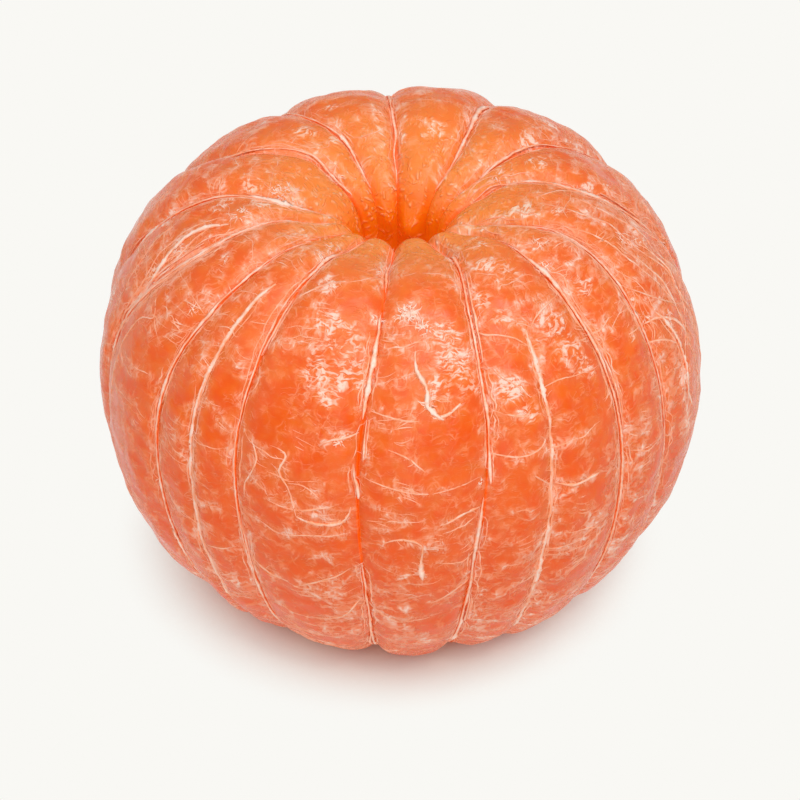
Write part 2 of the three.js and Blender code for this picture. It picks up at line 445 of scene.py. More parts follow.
def lengthsTo(points):
    return np.concatenate([[0], np.cumsum(np.linalg.norm(np.diff(points, axis=0), axis=1))])


def layOnSkin(places):
    # Takes (azimuth, turn, width) rows to points on the backs, with the way up and half the width.
    places = np.array(places, float)
    ends = skinPoints(places[:, 0], places[:, 1])
    length = lengthsTo(ends)
    at = np.linspace(0, length[-1], max(int(length[-1] / pith["knots"]), 3) + 1)
    azimuth, turn, width = [smoothThrough(length, places[:, k], at) for k in range(3)]
    radius, height = profile(turn)
    beforeR, beforeZ = profile(turn - 0.5)
    afterR, afterZ = profile(turn + 0.5)
    size = np.hypot(afterR - beforeR, afterZ - beforeZ)
    outR, outZ = (afterZ - beforeZ) / size, (beforeR - afterR) / size
    reach = np.degrees(width / 2 / radius)
    under = skinDepth(azimuth, radius, height)
    beside = (skinDepth(azimuth - reach, radius, height) + skinDepth(azimuth + reach, radius, height)) / 2
    depth = np.minimum(under * (1 - pith["lift"]), beside) + pith["sunk"]
    radius, height = radius - outR * depth, np.maximum(height - outZ * depth, 0.0)
    azimuth = np.radians(azimuth)
    points = roundAxis(azimuth, radius, height + rimRise(azimuth, radius, height))
    return points, roundAxis(azimuth, outR, outZ), width / 2


def stepAside(azimuth, turn, across, along):
    # A short walk on the skin in millimetres: across towards +azimuth, along towards the crown.
    radius, height = profile(turn)
    nextRadius, nextHeight = profile(turn + 0.5)
    perTurn = 2 * math.hypot(nextRadius - radius, nextHeight - height)
    return azimuth + math.degrees(across / radius), turn + along / perTurn


def pathMesh(name, groups):
    # A group is its paths, how white they are for their width, and whether they cling to the finished skin.
    points, ups, halves, edges, whites, clings = [], [], [], [], [], []
    for places, white, cling in [(places, *how) for paths, *how in groups for places in paths]:
        line, up, half = layOnSkin(places)
        whites.append(np.full(len(line), white))
        clings.append(np.full(len(line), cling))
        start = sum(len(p) for p in points)
        points.append(line)
        ups.append(up)
        halves.append(half)
        edges += [(start + k, start + k + 1) for k in range(len(line) - 1)]
    mesh = bpy.data.meshes.new(name)
    mesh.from_pydata((np.concatenate(points) * mm).tolist(), edges, [])
    writeAttribute(mesh, "up", "FLOAT_VECTOR", np.concatenate(ups))
    writeAttribute(mesh, "halfWidth", "FLOAT", np.concatenate(halves) * pith["slimness"] * mm)
    writeAttribute(mesh, "white", "FLOAT", np.concatenate(whites))
    writeAttribute(mesh, "cling", "FLOAT", np.concatenate(clings))
    return mesh


def strandTree():
    # Sweeps a flattened, frayed strand along each path.
    tree, given = newGeometryTree("pithStrands", {
        "Step": "Float", "Sides": "Int", "Thickness": "Float", "Waver": "Float", "Waver Size": "Float",
        "Fray": "Float", "Skin": "Collection", "Material": "Material",
    })
    curve = addNode(tree, "GeometryNodeMeshToCurve", None, {0: given["Geometry"]})
    curve = addNode(tree, "GeometryNodeCurveSplineType", {"spline_type": "CATMULL_ROM"}, {"Curve": curve})
    curve = addNode(tree, "GeometryNodeResampleCurve", {"mode": "LENGTH"},
                    {"Curve": curve, "Length": given["Step"]})
    up, half, cling, spine, own = [
        addNode(tree, "GeometryNodeInputNamedAttribute", {"data_type": kind}, {"Name": name})
        for name, kind in (("up", "FLOAT_VECTOR"), ("halfWidth", "FLOAT"), ("cling", "FLOAT"),
                           ("spine", "FLOAT_VECTOR"), ("bulk", "FLOAT"))
    ]
    place = addNode(tree, "GeometryNodeInputPosition")
    frequency = addNode(tree, "ShaderNodeMath", {"operation": "DIVIDE"}, {0: 1.0, 1: given["Waver Size"]})
    noise = addNode(tree, "ShaderNodeTexNoise", None, {"Vector": place, "Scale": frequency, "Detail": 3.0})
    centred = addNode(tree, "ShaderNodeVectorMath", minus, {0: noise.outputs["Color"], 1: (0.5, 0.5, 0.5)})
    swing = addNode(tree, "ShaderNodeVectorMath", {"operation": "SCALE"},
                    {0: centred, "Scale": given["Waver"]})
    rise = addNode(tree, "ShaderNodeVectorMath", {"operation": "PROJECT"}, {0: swing, 1: up})
    swing = addNode(tree, "ShaderNodeVectorMath", minus, {0: swing, 1: rise})
    curve = addNode(tree, "GeometryNodeSetPosition", None, {"Geometry": curve, "Offset": swing})
    allSkin = addNode(tree, "GeometryNodeCollectionInfo", None, {"Collection": given["Skin"]})
    allSkin = addNode(tree, "GeometryNodeRealizeInstances", None, {0: allSkin})
    nearest = addNode(tree, "GeometryNodeProximity", {"target_element": "FACES"}, {"Target": allSkin})
    toSkin = addNode(tree, "ShaderNodeVectorMath", minus,
                     {0: nearest.outputs["Position"], 1: addNode(tree, "GeometryNodeInputPosition")})
    toSkin = addNode(tree, "ShaderNodeVectorMath", {"operation": "SCALE"}, {0: toSkin, "Scale": cling})
    curve = addNode(tree, "GeometryNodeSetPosition", None, {"Geometry": curve, "Offset": toSkin})
    thick = addNode(tree, "ShaderNodeMapRange", None,
                    {"Value": noise.outputs[0], "From Min": 0.3, "From Max": 0.7,
                     "To Min": pith["uneven"][0], "To Max": pith["uneven"][1]})
    bulk = addNode(tree, "ShaderNodeMath", times, {0: half, 1: thick})
    for name, kind, value in (("spine", "FLOAT_VECTOR", addNode(tree, "GeometryNodeInputPosition")),
                              ("bulk", "FLOAT", bulk)):
        curve = addNode(tree, "GeometryNodeStoreNamedAttribute", {"data_type": kind, "domain": "POINT"},
                        {"Geometry": curve, "Name": name, "Value": value})
    circle = addNode(tree, "GeometryNodeCurvePrimitiveCircle", None,
                     {"Resolution": given["Sides"], "Radius": 1.0})
    mesh = addNode(tree, "GeometryNodeCurveToMesh", None,
                   {"Curve": curve, "Profile Curve": circle, "Scale": bulk, "Fill Caps": True})
    around = addNode(tree, "ShaderNodeVectorMath", minus,
                     {0: addNode(tree, "GeometryNodeInputPosition"), 1: spine})
    high = addNode(tree, "ShaderNodeVectorMath", {"operation": "PROJECT"}, {0: around, 1: up})
    squeeze = addNode(tree, "ShaderNodeMath", minus, {0: given["Thickness"], 1: 1.0})
    press = addNode(tree, "ShaderNodeVectorMath", {"operation": "SCALE"}, {0: high, "Scale": squeeze})
    ragged = addNode(tree, "ShaderNodeTexNoise", None,
                     {"Vector": addNode(tree, "GeometryNodeInputPosition"), "Scale": pith["frayGrain"],
                      "Detail": 2.0})
    ragged = addNode(tree, "ShaderNodeVectorMath", minus, {0: ragged.outputs["Color"], 1: (0.5, 0.5, 0.5)})
    amount = addNode(tree, "ShaderNodeMath", times, {0: own, 1: given["Fray"]})
    amount = addNode(tree, "ShaderNodeMath", times, {0: amount, 1: 2.5})
    fray = addNode(tree, "ShaderNodeVectorMath", {"operation": "SCALE"}, {0: ragged, "Scale": amount})
    shift = addNode(tree, "ShaderNodeVectorMath", {"operation": "ADD"}, {0: press, 1: fray})
    mesh = addNode(tree, "GeometryNodeSetPosition", None, {"Geometry": mesh, "Offset": shift})
    mesh = keepAboveTable(tree, mesh)
    mesh = addNode(tree, "GeometryNodeSetShadeSmooth", None, {0: mesh})
    return endTree(tree, mesh, given["Material"])


# The strands in the grooves where their course is known: groove, then runs of (turn, sideways, width).
knownStrands = {
    0: (
        ((75, 0, 0.2), (71, 0, 0.4), (66, -0.1, 0.5), (63, 0, 0.3), (60, 0.1, 0.1)),
        ((54, 0, 0.1), (52.5, -0.1, 0.4), (50, 0, 0.6), (46, 0, 0.8), (42, 0, 0.85), (38, 0, 0.9),
         (34, 0, 0.8), (31, 0, 0.6), (29, 0, 0.15)),
        ((29, 0.45, 0.1), (26, 0.5, 0.3), (23, 0.5, 0.4), (20, 0.5, 0.1)),
        ((19, -0.4, 0.1), (16, -0.3, 0.5), (13, 0.1, 0.9), (11, 0.1, 0.2)),
        ((-4, 0, 0.1), (-8, 0.1, 0.35), (-11, 0.1, 0.3), (-14, 0, 0.45), (-18, 0.1, 0.35),
         (-24, 0, 0.5), (-30, 0, 0.7)),
    ),
    1: (
        ((74, 0, 0.2), (70, 0, 0.8), (67, -0.1, 0.4), (62, -0.1, 0.35), (55, -0.2, 0.4),
         (48, -0.2, 0.4), (42, -0.2, 0.4), (36, -0.2, 0.45), (32, -0.1, 0.5), (30, 0, 0.7),
         (27, 0.1, 0.5), (23, 0.05, 0.25), (19, 0.1, 0.45), (15, 0.25, 0.7), (13, 0.35, 0.2)),
        ((64, 0.35, 0.1), (58, 0.35, 0.35), (50, 0.3, 0.4), (44, 0.3, 0.3), (40, 0.25, 0.1)),
        ((10, -0.3, 0.1), (7, -0.3, 0.6), (3, -0.35, 0.8), (-2, -0.35, 0.75), (-6, -0.2, 0.5),
         (-11, 0, 0.5), (-14, 0.05, 0.6), (-18, 0, 0.4), (-24, 0, 0.5), (-30, 0, 0.7)),
        ((-14, 0.2, 0.2), (-18, 0.35, 0.3), (-24, 0.3, 0.3)),
    ),
    2: (
        ((73, 0, 0.2), (66, 0, 0.3), (60, 0, 0.45), (57, 0, 0.8), (53, 0.1, 1.1), (49, 0.1, 0.8),
         (44, 0, 0.6), (40, 0, 0.55), (35, 0, 0.7), (31, 0, 0.7), (27, -0.15, 0.4), (20, -0.15, 0.4),
         (12, -0.1, 0.5), (6, 0, 0.5), (0, 0, 0.6), (-6, 0, 0.5), (-12, 0, 0.6), (-18, 0, 0.7),
         (-26, 0, 0.6)),
        ((31, 0.2, 0.2), (26, 0.3, 0.4), (20, 0.3, 0.4), (14, 0.2, 0.2)),
    ),
    3: (
        ((72, 0, 0.3), (66, 0, 0.3), (60, 0.1, 0.4), (56, 0, 0.55), (51, 0, 0.55), (46, 0, 0.5),
         (42, 0, 0.55), (36, 0, 0.5), (31, 0, 0.7), (28, 0, 0.6), (24, 0, 0.45), (16, 0, 0.5),
         (8, 0, 0.4), (0, 0, 0.5), (-10, 0, 0.5), (-20, 0, 0.6)),
        ((62, -0.5, 0.1), (57, -0.5, 0.35), (52, -0.4, 0.3), (49, -0.1, 0.2)),
    ),
    4: (
        ((74, 0.3, 0.3), (69, -0.2, 0.5), (64, -0.3, 0.6), (60, -0.6, 0.6), (56, -0.6, 0.8),
         (52, -0.5, 1.0), (47, -0.3, 0.8), (42, -0.1, 0.7), (36, 0, 0.6), (30, 0, 0.5), (20, 0, 0.5)),
        ((50, 0.6, 0.3), (44, 0.5, 0.4), (38, 0.4, 0.3)),
    ),
    5: (
        ((75, 0, 0.4), (70, 0.1, 0.8), (65, 0.3, 0.6), (60, 0.3, 0.4), (52, 0, 0.4), (44, 0, 0.5)),
    ),
    6: (
        ((75, 0, 0.5), (68, 0, 0.7), (63, 0, 0.9), (58, 0, 1.2), (53, 0, 1.1), (48, 0, 0.6)),
    ),
    7: (
        ((75, 0.2, 0.3), (71, -0.1, 0.5), (66, 0, 0.6), (60, 0, 0.5), (52, 0, 0.6), (46, 0, 0.5)),
    ),
    8: (
        ((74, 0, 0.5), (70, 0, 0.8), (64, 0, 0.4), (58, 0.2, 0.5), (52, 0.2, 0.6), (46, 0, 0.5)),
    ),
    9: (
        ((75, 0, 0.6), (71, -0.3, 0.7), (66, -0.4, 0.5), (60, -0.5, 0.5), (54, -0.2, 0.5), (46, 0, 0.4)),
    ),
    10: (
        ((75, 0.6, 0.5), (71, 0.8, 1.5), (67, 0.5, 1.3), (63, 0.1, 0.6), (58, 0, 0.45), (52, 0, 0.6),
         (45, 0, 0.5), (38, 0, 0.5)),
    ),
    11: (
        ((74, 0, 0.3), (68, 0, 0.5), (62, 0, 0.6), (57, 0, 0.9), (52, 0, 0.6), (46, 0, 0.7),
         (40, 0, 0.7), (34, 0, 0.6), (28, 0, 0.8), (20, 0, 0.6), (10, 0, 0.6), (0, 0, 0.5)),
        ((54, 0.7, 0.2), (48, 0.7, 0.4), (40, 0.8, 0.4), (32, 0.6, 0.5), (24, 0.5, 0.3)),
        ((50, -0.8, 0.2), (44, -0.8, 0.4), (36, -0.7, 0.4), (30, -0.3, 0.2)),
    ),
    12: (
        ((73, 0, 0.2), (66, 0, 0.35), (62, 0.1, 0.3), (57, 0.1, 0.4), (53, 0, 0.7), (50, 0, 0.45),
         (45, -0.1, 0.4), (40, 0, 0.75), (36, 0, 0.5), (29, 0, 0.5), (23, 0, 0.6), (14, 0, 0.6),
         (6, 0, 0.5), (-4, 0, 0.6), (-14, 0, 0.7)),
    ),
    13: (
        ((73, 0, 0.5), (68, -0.1, 0.9), (63, 0, 0.5), (57, -0.1, 0.4), (52, -0.25, 0.35),
         (47, -0.25, 0.4), (42, -0.2, 0.4), (38, -0.15, 0.3), (34, 0, 0.35), (28, 0, 0.35),
         (24, 0.1, 0.25), (18, 0, 0.3), (12, 0, 0.35), (5, 0, 0.4), (0, 0, 0.5), (-6, 0, 0.4),
         (-12, 0, 0.5), (-17, 0, 0.7), (-23, 0, 0.6), (-30, 0, 0.7)),
        ((53, 0.25, 0.15), (50, 0.25, 0.35), (45, 0.25, 0.4), (41, 0.2, 0.3), (38, 0.1, 0.1)),
        ((2, 0.25, 0.1), (-4, 0.45, 0.3), (-10, 0.35, 0.3), (-15, 0.1, 0.2)),
    ),
}
knownFurrowStrands = {
    1: (
        ((44, 0, 0.3), (42, 0, 0.7), (38, 0, 0.9), (33, 0, 0.9), (28, 0, 0.85), (23, 0, 0.55),
         (17, 0, 0.55), (10, 0, 0.65), (4, 0, 0.6), (-2, 0, 0.85), (-8, 0, 0.8), (-13, 0, 0.95),
         (-18, 0, 0.65), (-25, 0, 0.6), (-34, 0, 0.7)),
    ),
    12: (
        ((54, 0.8, 0.3), (49, 0.2, 0.7), (44, 0, 0.7), (38, 0, 0.7), (32, 0, 0.85), (26, 0, 0.7),
         (18, 0, 0.9), (10, 0, 0.8), (0, 0, 0.7), (-10, 0, 0.8), (-20, 0, 0.7), (-30, 0, 0.6)),
    ),
}
# Veins that cross the backs: width, then (azimuth, turn) points.
knownVeins = (
    (0.3, (-54, 60), (-56, 65), (-54, 72)),
    (0.5, (-32, 53), (-29, 55), (-26, 57), (-22, 58.5)),
    (0.25, (-24, 58), (-21, 59), (-14, 61), (-7, 65)),
    (0.22, (-4, 45), (-1, 45), (2, 45)),
    (0.35, (-6, 31), (-2, 30), (2, 29), (4, 29)),
    (1.0, (4, 44), (4, 40), (6, 36), (6, 32), (9, 29)),
    (0.7, (7, 29.5), (10, 30), (13, 32)),
    (0.9, (4, -1), (4, -3.5), (4.3, -6)),
    (0.35, (32, 70), (36, 69), (40, 68)),
    (0.35, (46, 48), (41, 47), (36, 45.5), (34, 44)),
    (0.3, (29, 46.5), (32, 45.5), (34, 44)),
    (0.4, (20, 48), (22, 46), (25, 45), (29, 43), (32, 40)),
    (0.4, (22, 38), (23, 36), (25, 34), (28, 30)),
    (0.35, (20, 29), (24, 27), (27, 26)),
    (0.3, (-69, 58), (-72, 53), (-73, 48), (-72, 42)),
    (0.35, (-68, 34), (-65, 31), (-69, 28), (-71, 23), (-72, 16), (-72, 10), (-73, 1)),
    (0.5, (-60, 39), (-58, 39.5), (-55, 40)),
    (0.4, (-32, -5), (-28, -8), (-24, -10), (-21, -10)),
    (0.35, (-30, 20), (-28, 16), (-29, 12), (-30, 10), (-30, 7)),
    (0.35, (-24, 20), (-22, 19), (-23, 15), (-21, 12), (-20, 9), (-19, 6)),
    (0.6, (-19, 6), (-16, 5), (-13, 5), (-10, 6), (-9, 9)),
    (0.3, (-21, 13), (-18, 13), (-15, 11)),
    (0.5, (-15, 23), (-13, 24), (-10, 25), (-8, 26)),
    (0.35, (-20, -11), (-16, -9), (-12, -7), (-9, -5)),
    (0.3, (-16, -2), (-12, -2)),
    (0.35, (-8, -14), (-4, -17), (0, -19), (6, -18)),
    (0.35, (-19, -21), (-12, -20), (-8, -15), (-7, -14)),
    (0.35, (-2, 23), (2, 21), (4, 19), (5, 18)),
    (0.4, (-3, 2), (0, 3), (4, 2), (4, -2), (4, -5)),
    (0.35, (18, 20), (20, 19), (23, 18), (26, 18), (29, 19), (31, 21)),
    (0.5, (31, 9), (34, 8), (38, 8), (40, 8)),
    (0.3, (32, -2), (36, -3), (41, -5)),
    (0.3, (26, 13), (28, 11), (30, 9)),
    (0.3, (22, 6), (24, 6), (25, 5)),
    (0.35, (29, 0), (27, -2), (26, -4)),
    (0.5, (16, 8), (13, 8), (10, 7), (7, 6)),
    (0.35, (15, -9), (11, -10), (6, -13)),
    (0.3, (15, -1), (12, -3), (7, -2)),
    (0.35, (22, -11), (26, -12), (29, -8)),
    (0.35, (41, -6), (38, -8), (37, -11), (34, -13)),
    (0.4, (58, 31), (61, 30.5), (64, 30)),
    (0.6, (66, 29), (69, 28), (73, 25), (76, 21), (78, 15)),
    (0.4, (48, 37), (52, 36), (56, 37)),
    (0.35, (99, 53), (94, 51), (90, 49)),
    (0.35, (84, 66), (90, 60), (93, 55)),
    (0.3, (68, 60), (70, 52), (69, 44), (71, 36), (70, 28), (72, 18), (70, 8), (71, -4)),
    (0.4, (72, 56), (74, 50), (74, 42), (76, 34), (78, 26), (77, 16), (79, 4), (78, -8)),
    (0.35, (80, 64), (79, 56), (81, 48), (80, 40), (83, 31), (82, 22), (84, 12)),
    (0.4, (86, 58), (85, 50), (87, 42), (86, 33), (88, 24), (87, 12), (88, 0)),
    (0.3, (92, 50), (91, 42), (92, 34), (90, 26), (91, 16)),
    (0.3, (67, 40), (71, 33), (76, 27), (82, 22)),
    (0.3, (70, 10), (75, 16), (80, 20), (86, 26)),
    (0.3, (-88, 50), (-86, 42), (-84, 34), (-83, 26), (-84, 16)),
    (0.3, (-78, 56), (-80, 48), (-80, 40), (-78, 32), (-79, 22), (-78, 10)),
    (0.25, (-74, 46), (-75, 38), (-74, 30), (-76, 20), (-75, 8)),
    (1.0, (-74, 57), (-77, 52), (-78, 46), (-77, 40), (-76, 34), (-77, 28), (-79, 22)),
    (0.6, (-76, 53), (-75, 47), (-74, 41), (-75, 35), (-74, 31)),
    (0.9, (70, 29), (72, 24), (73, 18), (73, 14), (72, 9), (73, 3)),
    (0.6, (64, 25), (68, 23), (72, 19)),
    (0.5, (76, 46), (77, 38), (79, 30), (78, 22), (80, 14)),
    (0.5, (82, 40), (84, 32), (83, 24), (85, 16), (84, 6)),
)
# Clots of loose fibres: azimuth, turn, radius, fibres.
knownClots = (
    (3.5, 52.5, 0.45, 70), (7, 49, 0.7, 24), (-8, 66.5, 0.8, 26), (-5, 69.5, 0.7, 20),
    (-6, 52, 0.5, 16), (3.5, 52.5, 1.1, 56), (0.5, 53, 0.7, 16), (27, 69.5, 0.8, 26), (51, 55, 0.8, 26),
    (-34, 67, 1.1, 34), (-36, 71, 0.9, 20), (-92, 69, 1.2, 40), (-95, 72, 1.0, 30), (152, 58, 1.2, 40),
    (151, 63, 0.9, 24), (112, 72, 0.8, 18), (73, 25, 0.8, 20), (67, 30, 0.6, 14), (-12, 24, 0.6, 16),
    (-10, 6, 0.5, 10), (16, 14, 0.4, 10), (26, 33, 0.7, 18), (6, 33, 0.7, 10), (-56, 39, 0.6, 14),
    (-77, 44, 1.2, 30), (-76, 34, 1.2, 30), (58, 60, 0.9, 20), (80, 44, 1.0, 26), (84, 40, 1.0, 22),
    (-22, 58, 0.6, 14), (-76, 60, 0.9, 20), (-132, 76, 0.8, 20), (-60, 52, 0.5, 10), (40, 68, 0.6, 12),
    (36, 45, 0.5, 12),
)


def grooveCourse(index, runs):
    paths = []
    for run in runs:
        course = []
        if run[0][0] > pith["overRim"]:
            last, wide = pith["rimTurns"]
            run = ((last, 0, pith["rimWidth"]), (wide, 0, run[0][2])) + tuple(run)
        for turn, sideways, width in run:
            radius, height = profile(turn)
            azimuth = math.degrees(float(grooveAzimuth(index, radius, height)))
            course.append((azimuth + math.degrees(sideways / radius), turn, width))
        paths.append(course)
    return paths


def furrowCourse(index, runs):
    paths = []
    for run in runs:
        course = []
        for turn, sideways, width in run:
            radius, height = profile(turn)
            middle, halfWidth = sectorAt(index, radius, height)
            offset = fruit["furrows"][index][0] * halfWidth + sideways
            course.append((math.degrees(middle + math.atan2(offset, radius)), turn, width))
        paths.append(course)
    return paths


def looseRuns(rng, top, bottom):
    # Where a strand's course isn't known it goes on with a natural change of width, sometimes doubled.
    runs, turn = [[]], top
    while turn > bottom:
        runs[0].append((turn, rng.uniform(-0.12, 0.12), rng.uniform(0.4, 0.95)))
        turn -= rng.uniform(4, 8)
    runs[0].append((bottom, 0, 0.3))
    turn = top - rng.uniform(0, 10)
    while turn > bottom + 15:
        length, side = rng.uniform(8, 16), rng.choice((-1, 1)) * rng.uniform(0.3, 0.6)
        runs.append([(turn, side * 0.4, 0.1), (turn - length / 3, side, rng.uniform(0.2, 0.4)),
                     (turn - length * 2 / 3, side, rng.uniform(0.2, 0.4)), (turn - length, side * 0.5, 0.1)])
        turn -= length + rng.uniform(2, 14)
    return runs


def sideHairs(rng, path, each=pith["hairs"]):
    # Fine hairs that leave a strand at a slant.
    hairs = []
    for (azimuth, turn, width), (nextAzimuth, nextTurn, _) in zip(path, path[1:]):
        length = float(np.linalg.norm(skinPoints(azimuth, turn) - skinPoints(nextAzimuth, nextTurn)))
        for _ in range(int(length * each + rng.random())):
            share = rng.random()
            a, t = azimuth + (nextAzimuth - azimuth) * share, turn + (nextTurn - turn) * share
            side = rng.choice((-1, 1))
            a, t = stepAside(a, t, side * width * 0.3, 0)
            reach = rng.uniform(*pith["hairReach"])
            slope = rng.uniform(-pith["hairSlope"], pith["hairSlope"])
            mid = stepAside(a, t, side * reach * 0.45, slope * reach * 0.5)
            end = stepAside(*mid, side * reach * 0.6, slope * reach * 0.3)
            fine = rng.uniform(*pith["hairWidth"])
            hairs.append([(a, t, fine), (*mid, fine * 0.9), (*end, 0.04)])
    return hairs


def companions(rng, path, more):
    # Thinner fibres that run along a strand and close beside it, and now and then join it.
    ends = np.array([skinPoints(a, t) for a, t, _ in path])
    length = lengthsTo(ends)
    places = np.array(path, float)
    fibres = []
    for _ in range(int(length[-1] * pith["beside"] * more + rng.random())):
        reach = min(rng.uniform(*pith["besideReach"]), length[-1])
        start = rng.uniform(0, length[-1] - reach)
        side = rng.choice((-1, 1)) * (0.12 + 0.7 * more ** 0.7 * rng.random() ** 1.6)
        width = rng.uniform(*pith["besideWidth"])
        joins = rng.choice((0, 0, 1, 2))  # neither end, the first or the last
        fibre = []
        for k in range(6):
            at = start + reach * k / 5
            azimuth, turn = np.interp(at, length, places[:, 0]), np.interp(at, length, places[:, 1])
            apart = side * rng.uniform(0.7, 1.3) * (0.15 if (joins, k) in ((1, 0), (2, 5)) else 1)
            azimuth, turn = stepAside(azimuth, turn, apart, 0)
            fibre.append((azimuth, turn, width * (0.3 if k in (0, 5) else rng.uniform(0.7, 1.3))))
        fibres.append(fibre)
    return fibres


def strandGroups(rng, paths, more, cling):
    white = pith["white"]
    hairs = [hair for path in paths for hair in sideHairs(rng, path)]
    beside = [fibre for path in paths for fibre in companions(rng, path, more)]
    return [(paths, white["strand"], cling), (hairs, white["hair"], 1.0), (beside, white["fibre"], 1.0)]


def clotFibres(rng, azimuth, turn, radius, count):
    fibres = []
    for _ in range(count):
        heading, away = rng.uniform(0, math.tau), radius * rng.random() ** 0.7
        a, t = stepAside(azimuth, turn, away * math.cos(heading), away * math.sin(heading))
        direction = heading + rng.uniform(-1.7, 1.7)
        reach = rng.uniform(0.3, 0.9) * min(radius + 0.2, 1)
        bend = rng.uniform(-0.6, 0.6)
        mid = stepAside(a, t, reach * math.cos(direction) / 2, reach * math.sin(direction) / 2)
        turned = direction + bend
        end = stepAside(*mid, reach * math.cos(turned) / 2, reach * math.sin(turned) / 2)
        fine = rng.uniform(0.12, 0.4) * (1.2 - 0.6 * away / radius)
        fibres.append([(a, t, fine), (*mid, fine * 0.8), (*end, 0.04)])
    return fibres


# Fine rungs from groove to groove: they hang low in the middle on the lower half.
rungs = {
    "lower": 22,
    "lowerTurns": (-70, 22),
    "upper": 7,
    "upperTurns": (28, 70),
    "upperHang": -0.7,
    "width": (0.1, 0.22),
    "sag": (1.0, 3.2),
}
# Tufts of short fibres side by side, mostly across the back.
tufts = {
    "each": 18,
    "turns": (-68, 66),
    "fibres": (2, 5),
    "apart": 0.42,
    "length": (0.7, 2.4),
    "width": (0.1, 0.22),
    "slant": 0.5,
}


def azimuthOnBack(index, turn, across):
    # From 0 in the groove on the left to 1 in the groove on the right.
    left, right = [math.degrees(float(grooveAzimuth(i, *profile(turn)))) for i in (index, index + 1)]
    return left + (right - left) * across


def backRungs(rng, index):
    paths = []
    spans = [(rng.uniform(*rungs["lowerTurns"]), 1) for _ in range(rungs["lower"])]
    spans += [(rng.uniform(*rungs["upperTurns"]), rungs["upperHang"]) for _ in range(rungs["upper"])]
    for turn, hang in spans:
        start, end = sorted((rng.uniform(0.02, 0.98), rng.uniform(0.02, 0.98)))
        if end - start < 0.2:
            start, end = start * 0.6, 1 - (1 - end) * 0.6
        sag, tilt = rng.uniform(*rungs["sag"]) * hang, rng.uniform(-1.2, 1.2)
        width = rng.uniform(*rungs["width"])
        path = []
        for k in range(7):
            across = start + (end - start) * k / 6
            drop = sag * (1 - (2 * across - 1) ** 2) + rng.uniform(-0.12, 0.12)
            azimuth = azimuthOnBack(index, turn, across)
            along = sag / 2 - drop + tilt * (across - 0.5) + rng.uniform(-0.2, 0.2)
            azimuth, t = stepAside(azimuth, turn, 0, along)
            path.append((azimuth, t, width * (0.3 if k in (0, 6) else rng.uniform(0.5, 1.5))))
        paths.append(path)
        paths += sideHairs(rng, path[1:-1], 0.6)
    return paths


def fibreTufts(rng, index):
    paths = []
    for _ in range(tufts["each"]):
        turn, across = rng.uniform(*tufts["turns"]), rng.uniform(0.06, 0.94)
        azimuth = azimuthOnBack(index, turn, across)
        slant, bow = rng.uniform(-1, 1) * tufts["slant"], rng.uniform(-0.5, 0.3)
        for k in range(rng.randint(*tufts["fibres"])):
            length = rng.uniform(*tufts["length"])
            aside, along = rng.uniform(-0.5, 0.5), k * tufts["apart"] * rng.uniform(0.8, 1.3)
            start = stepAside(azimuth, turn, aside, along)
            heading = slant + rng.uniform(-0.25, 0.25)
            width = rng.uniform(*tufts["width"])
            path = []
            for share in (-0.5, -0.2, 0.1, 0.5):
                rise = length * (share * math.sin(heading) + bow * (0.25 - share * share))
                a, t = stepAside(*start, length * share * math.cos(heading), rise)
                path.append((a, t, width * (0.25 if abs(share) == 0.5 else 1.0)))
            paths.append(path)
    return paths


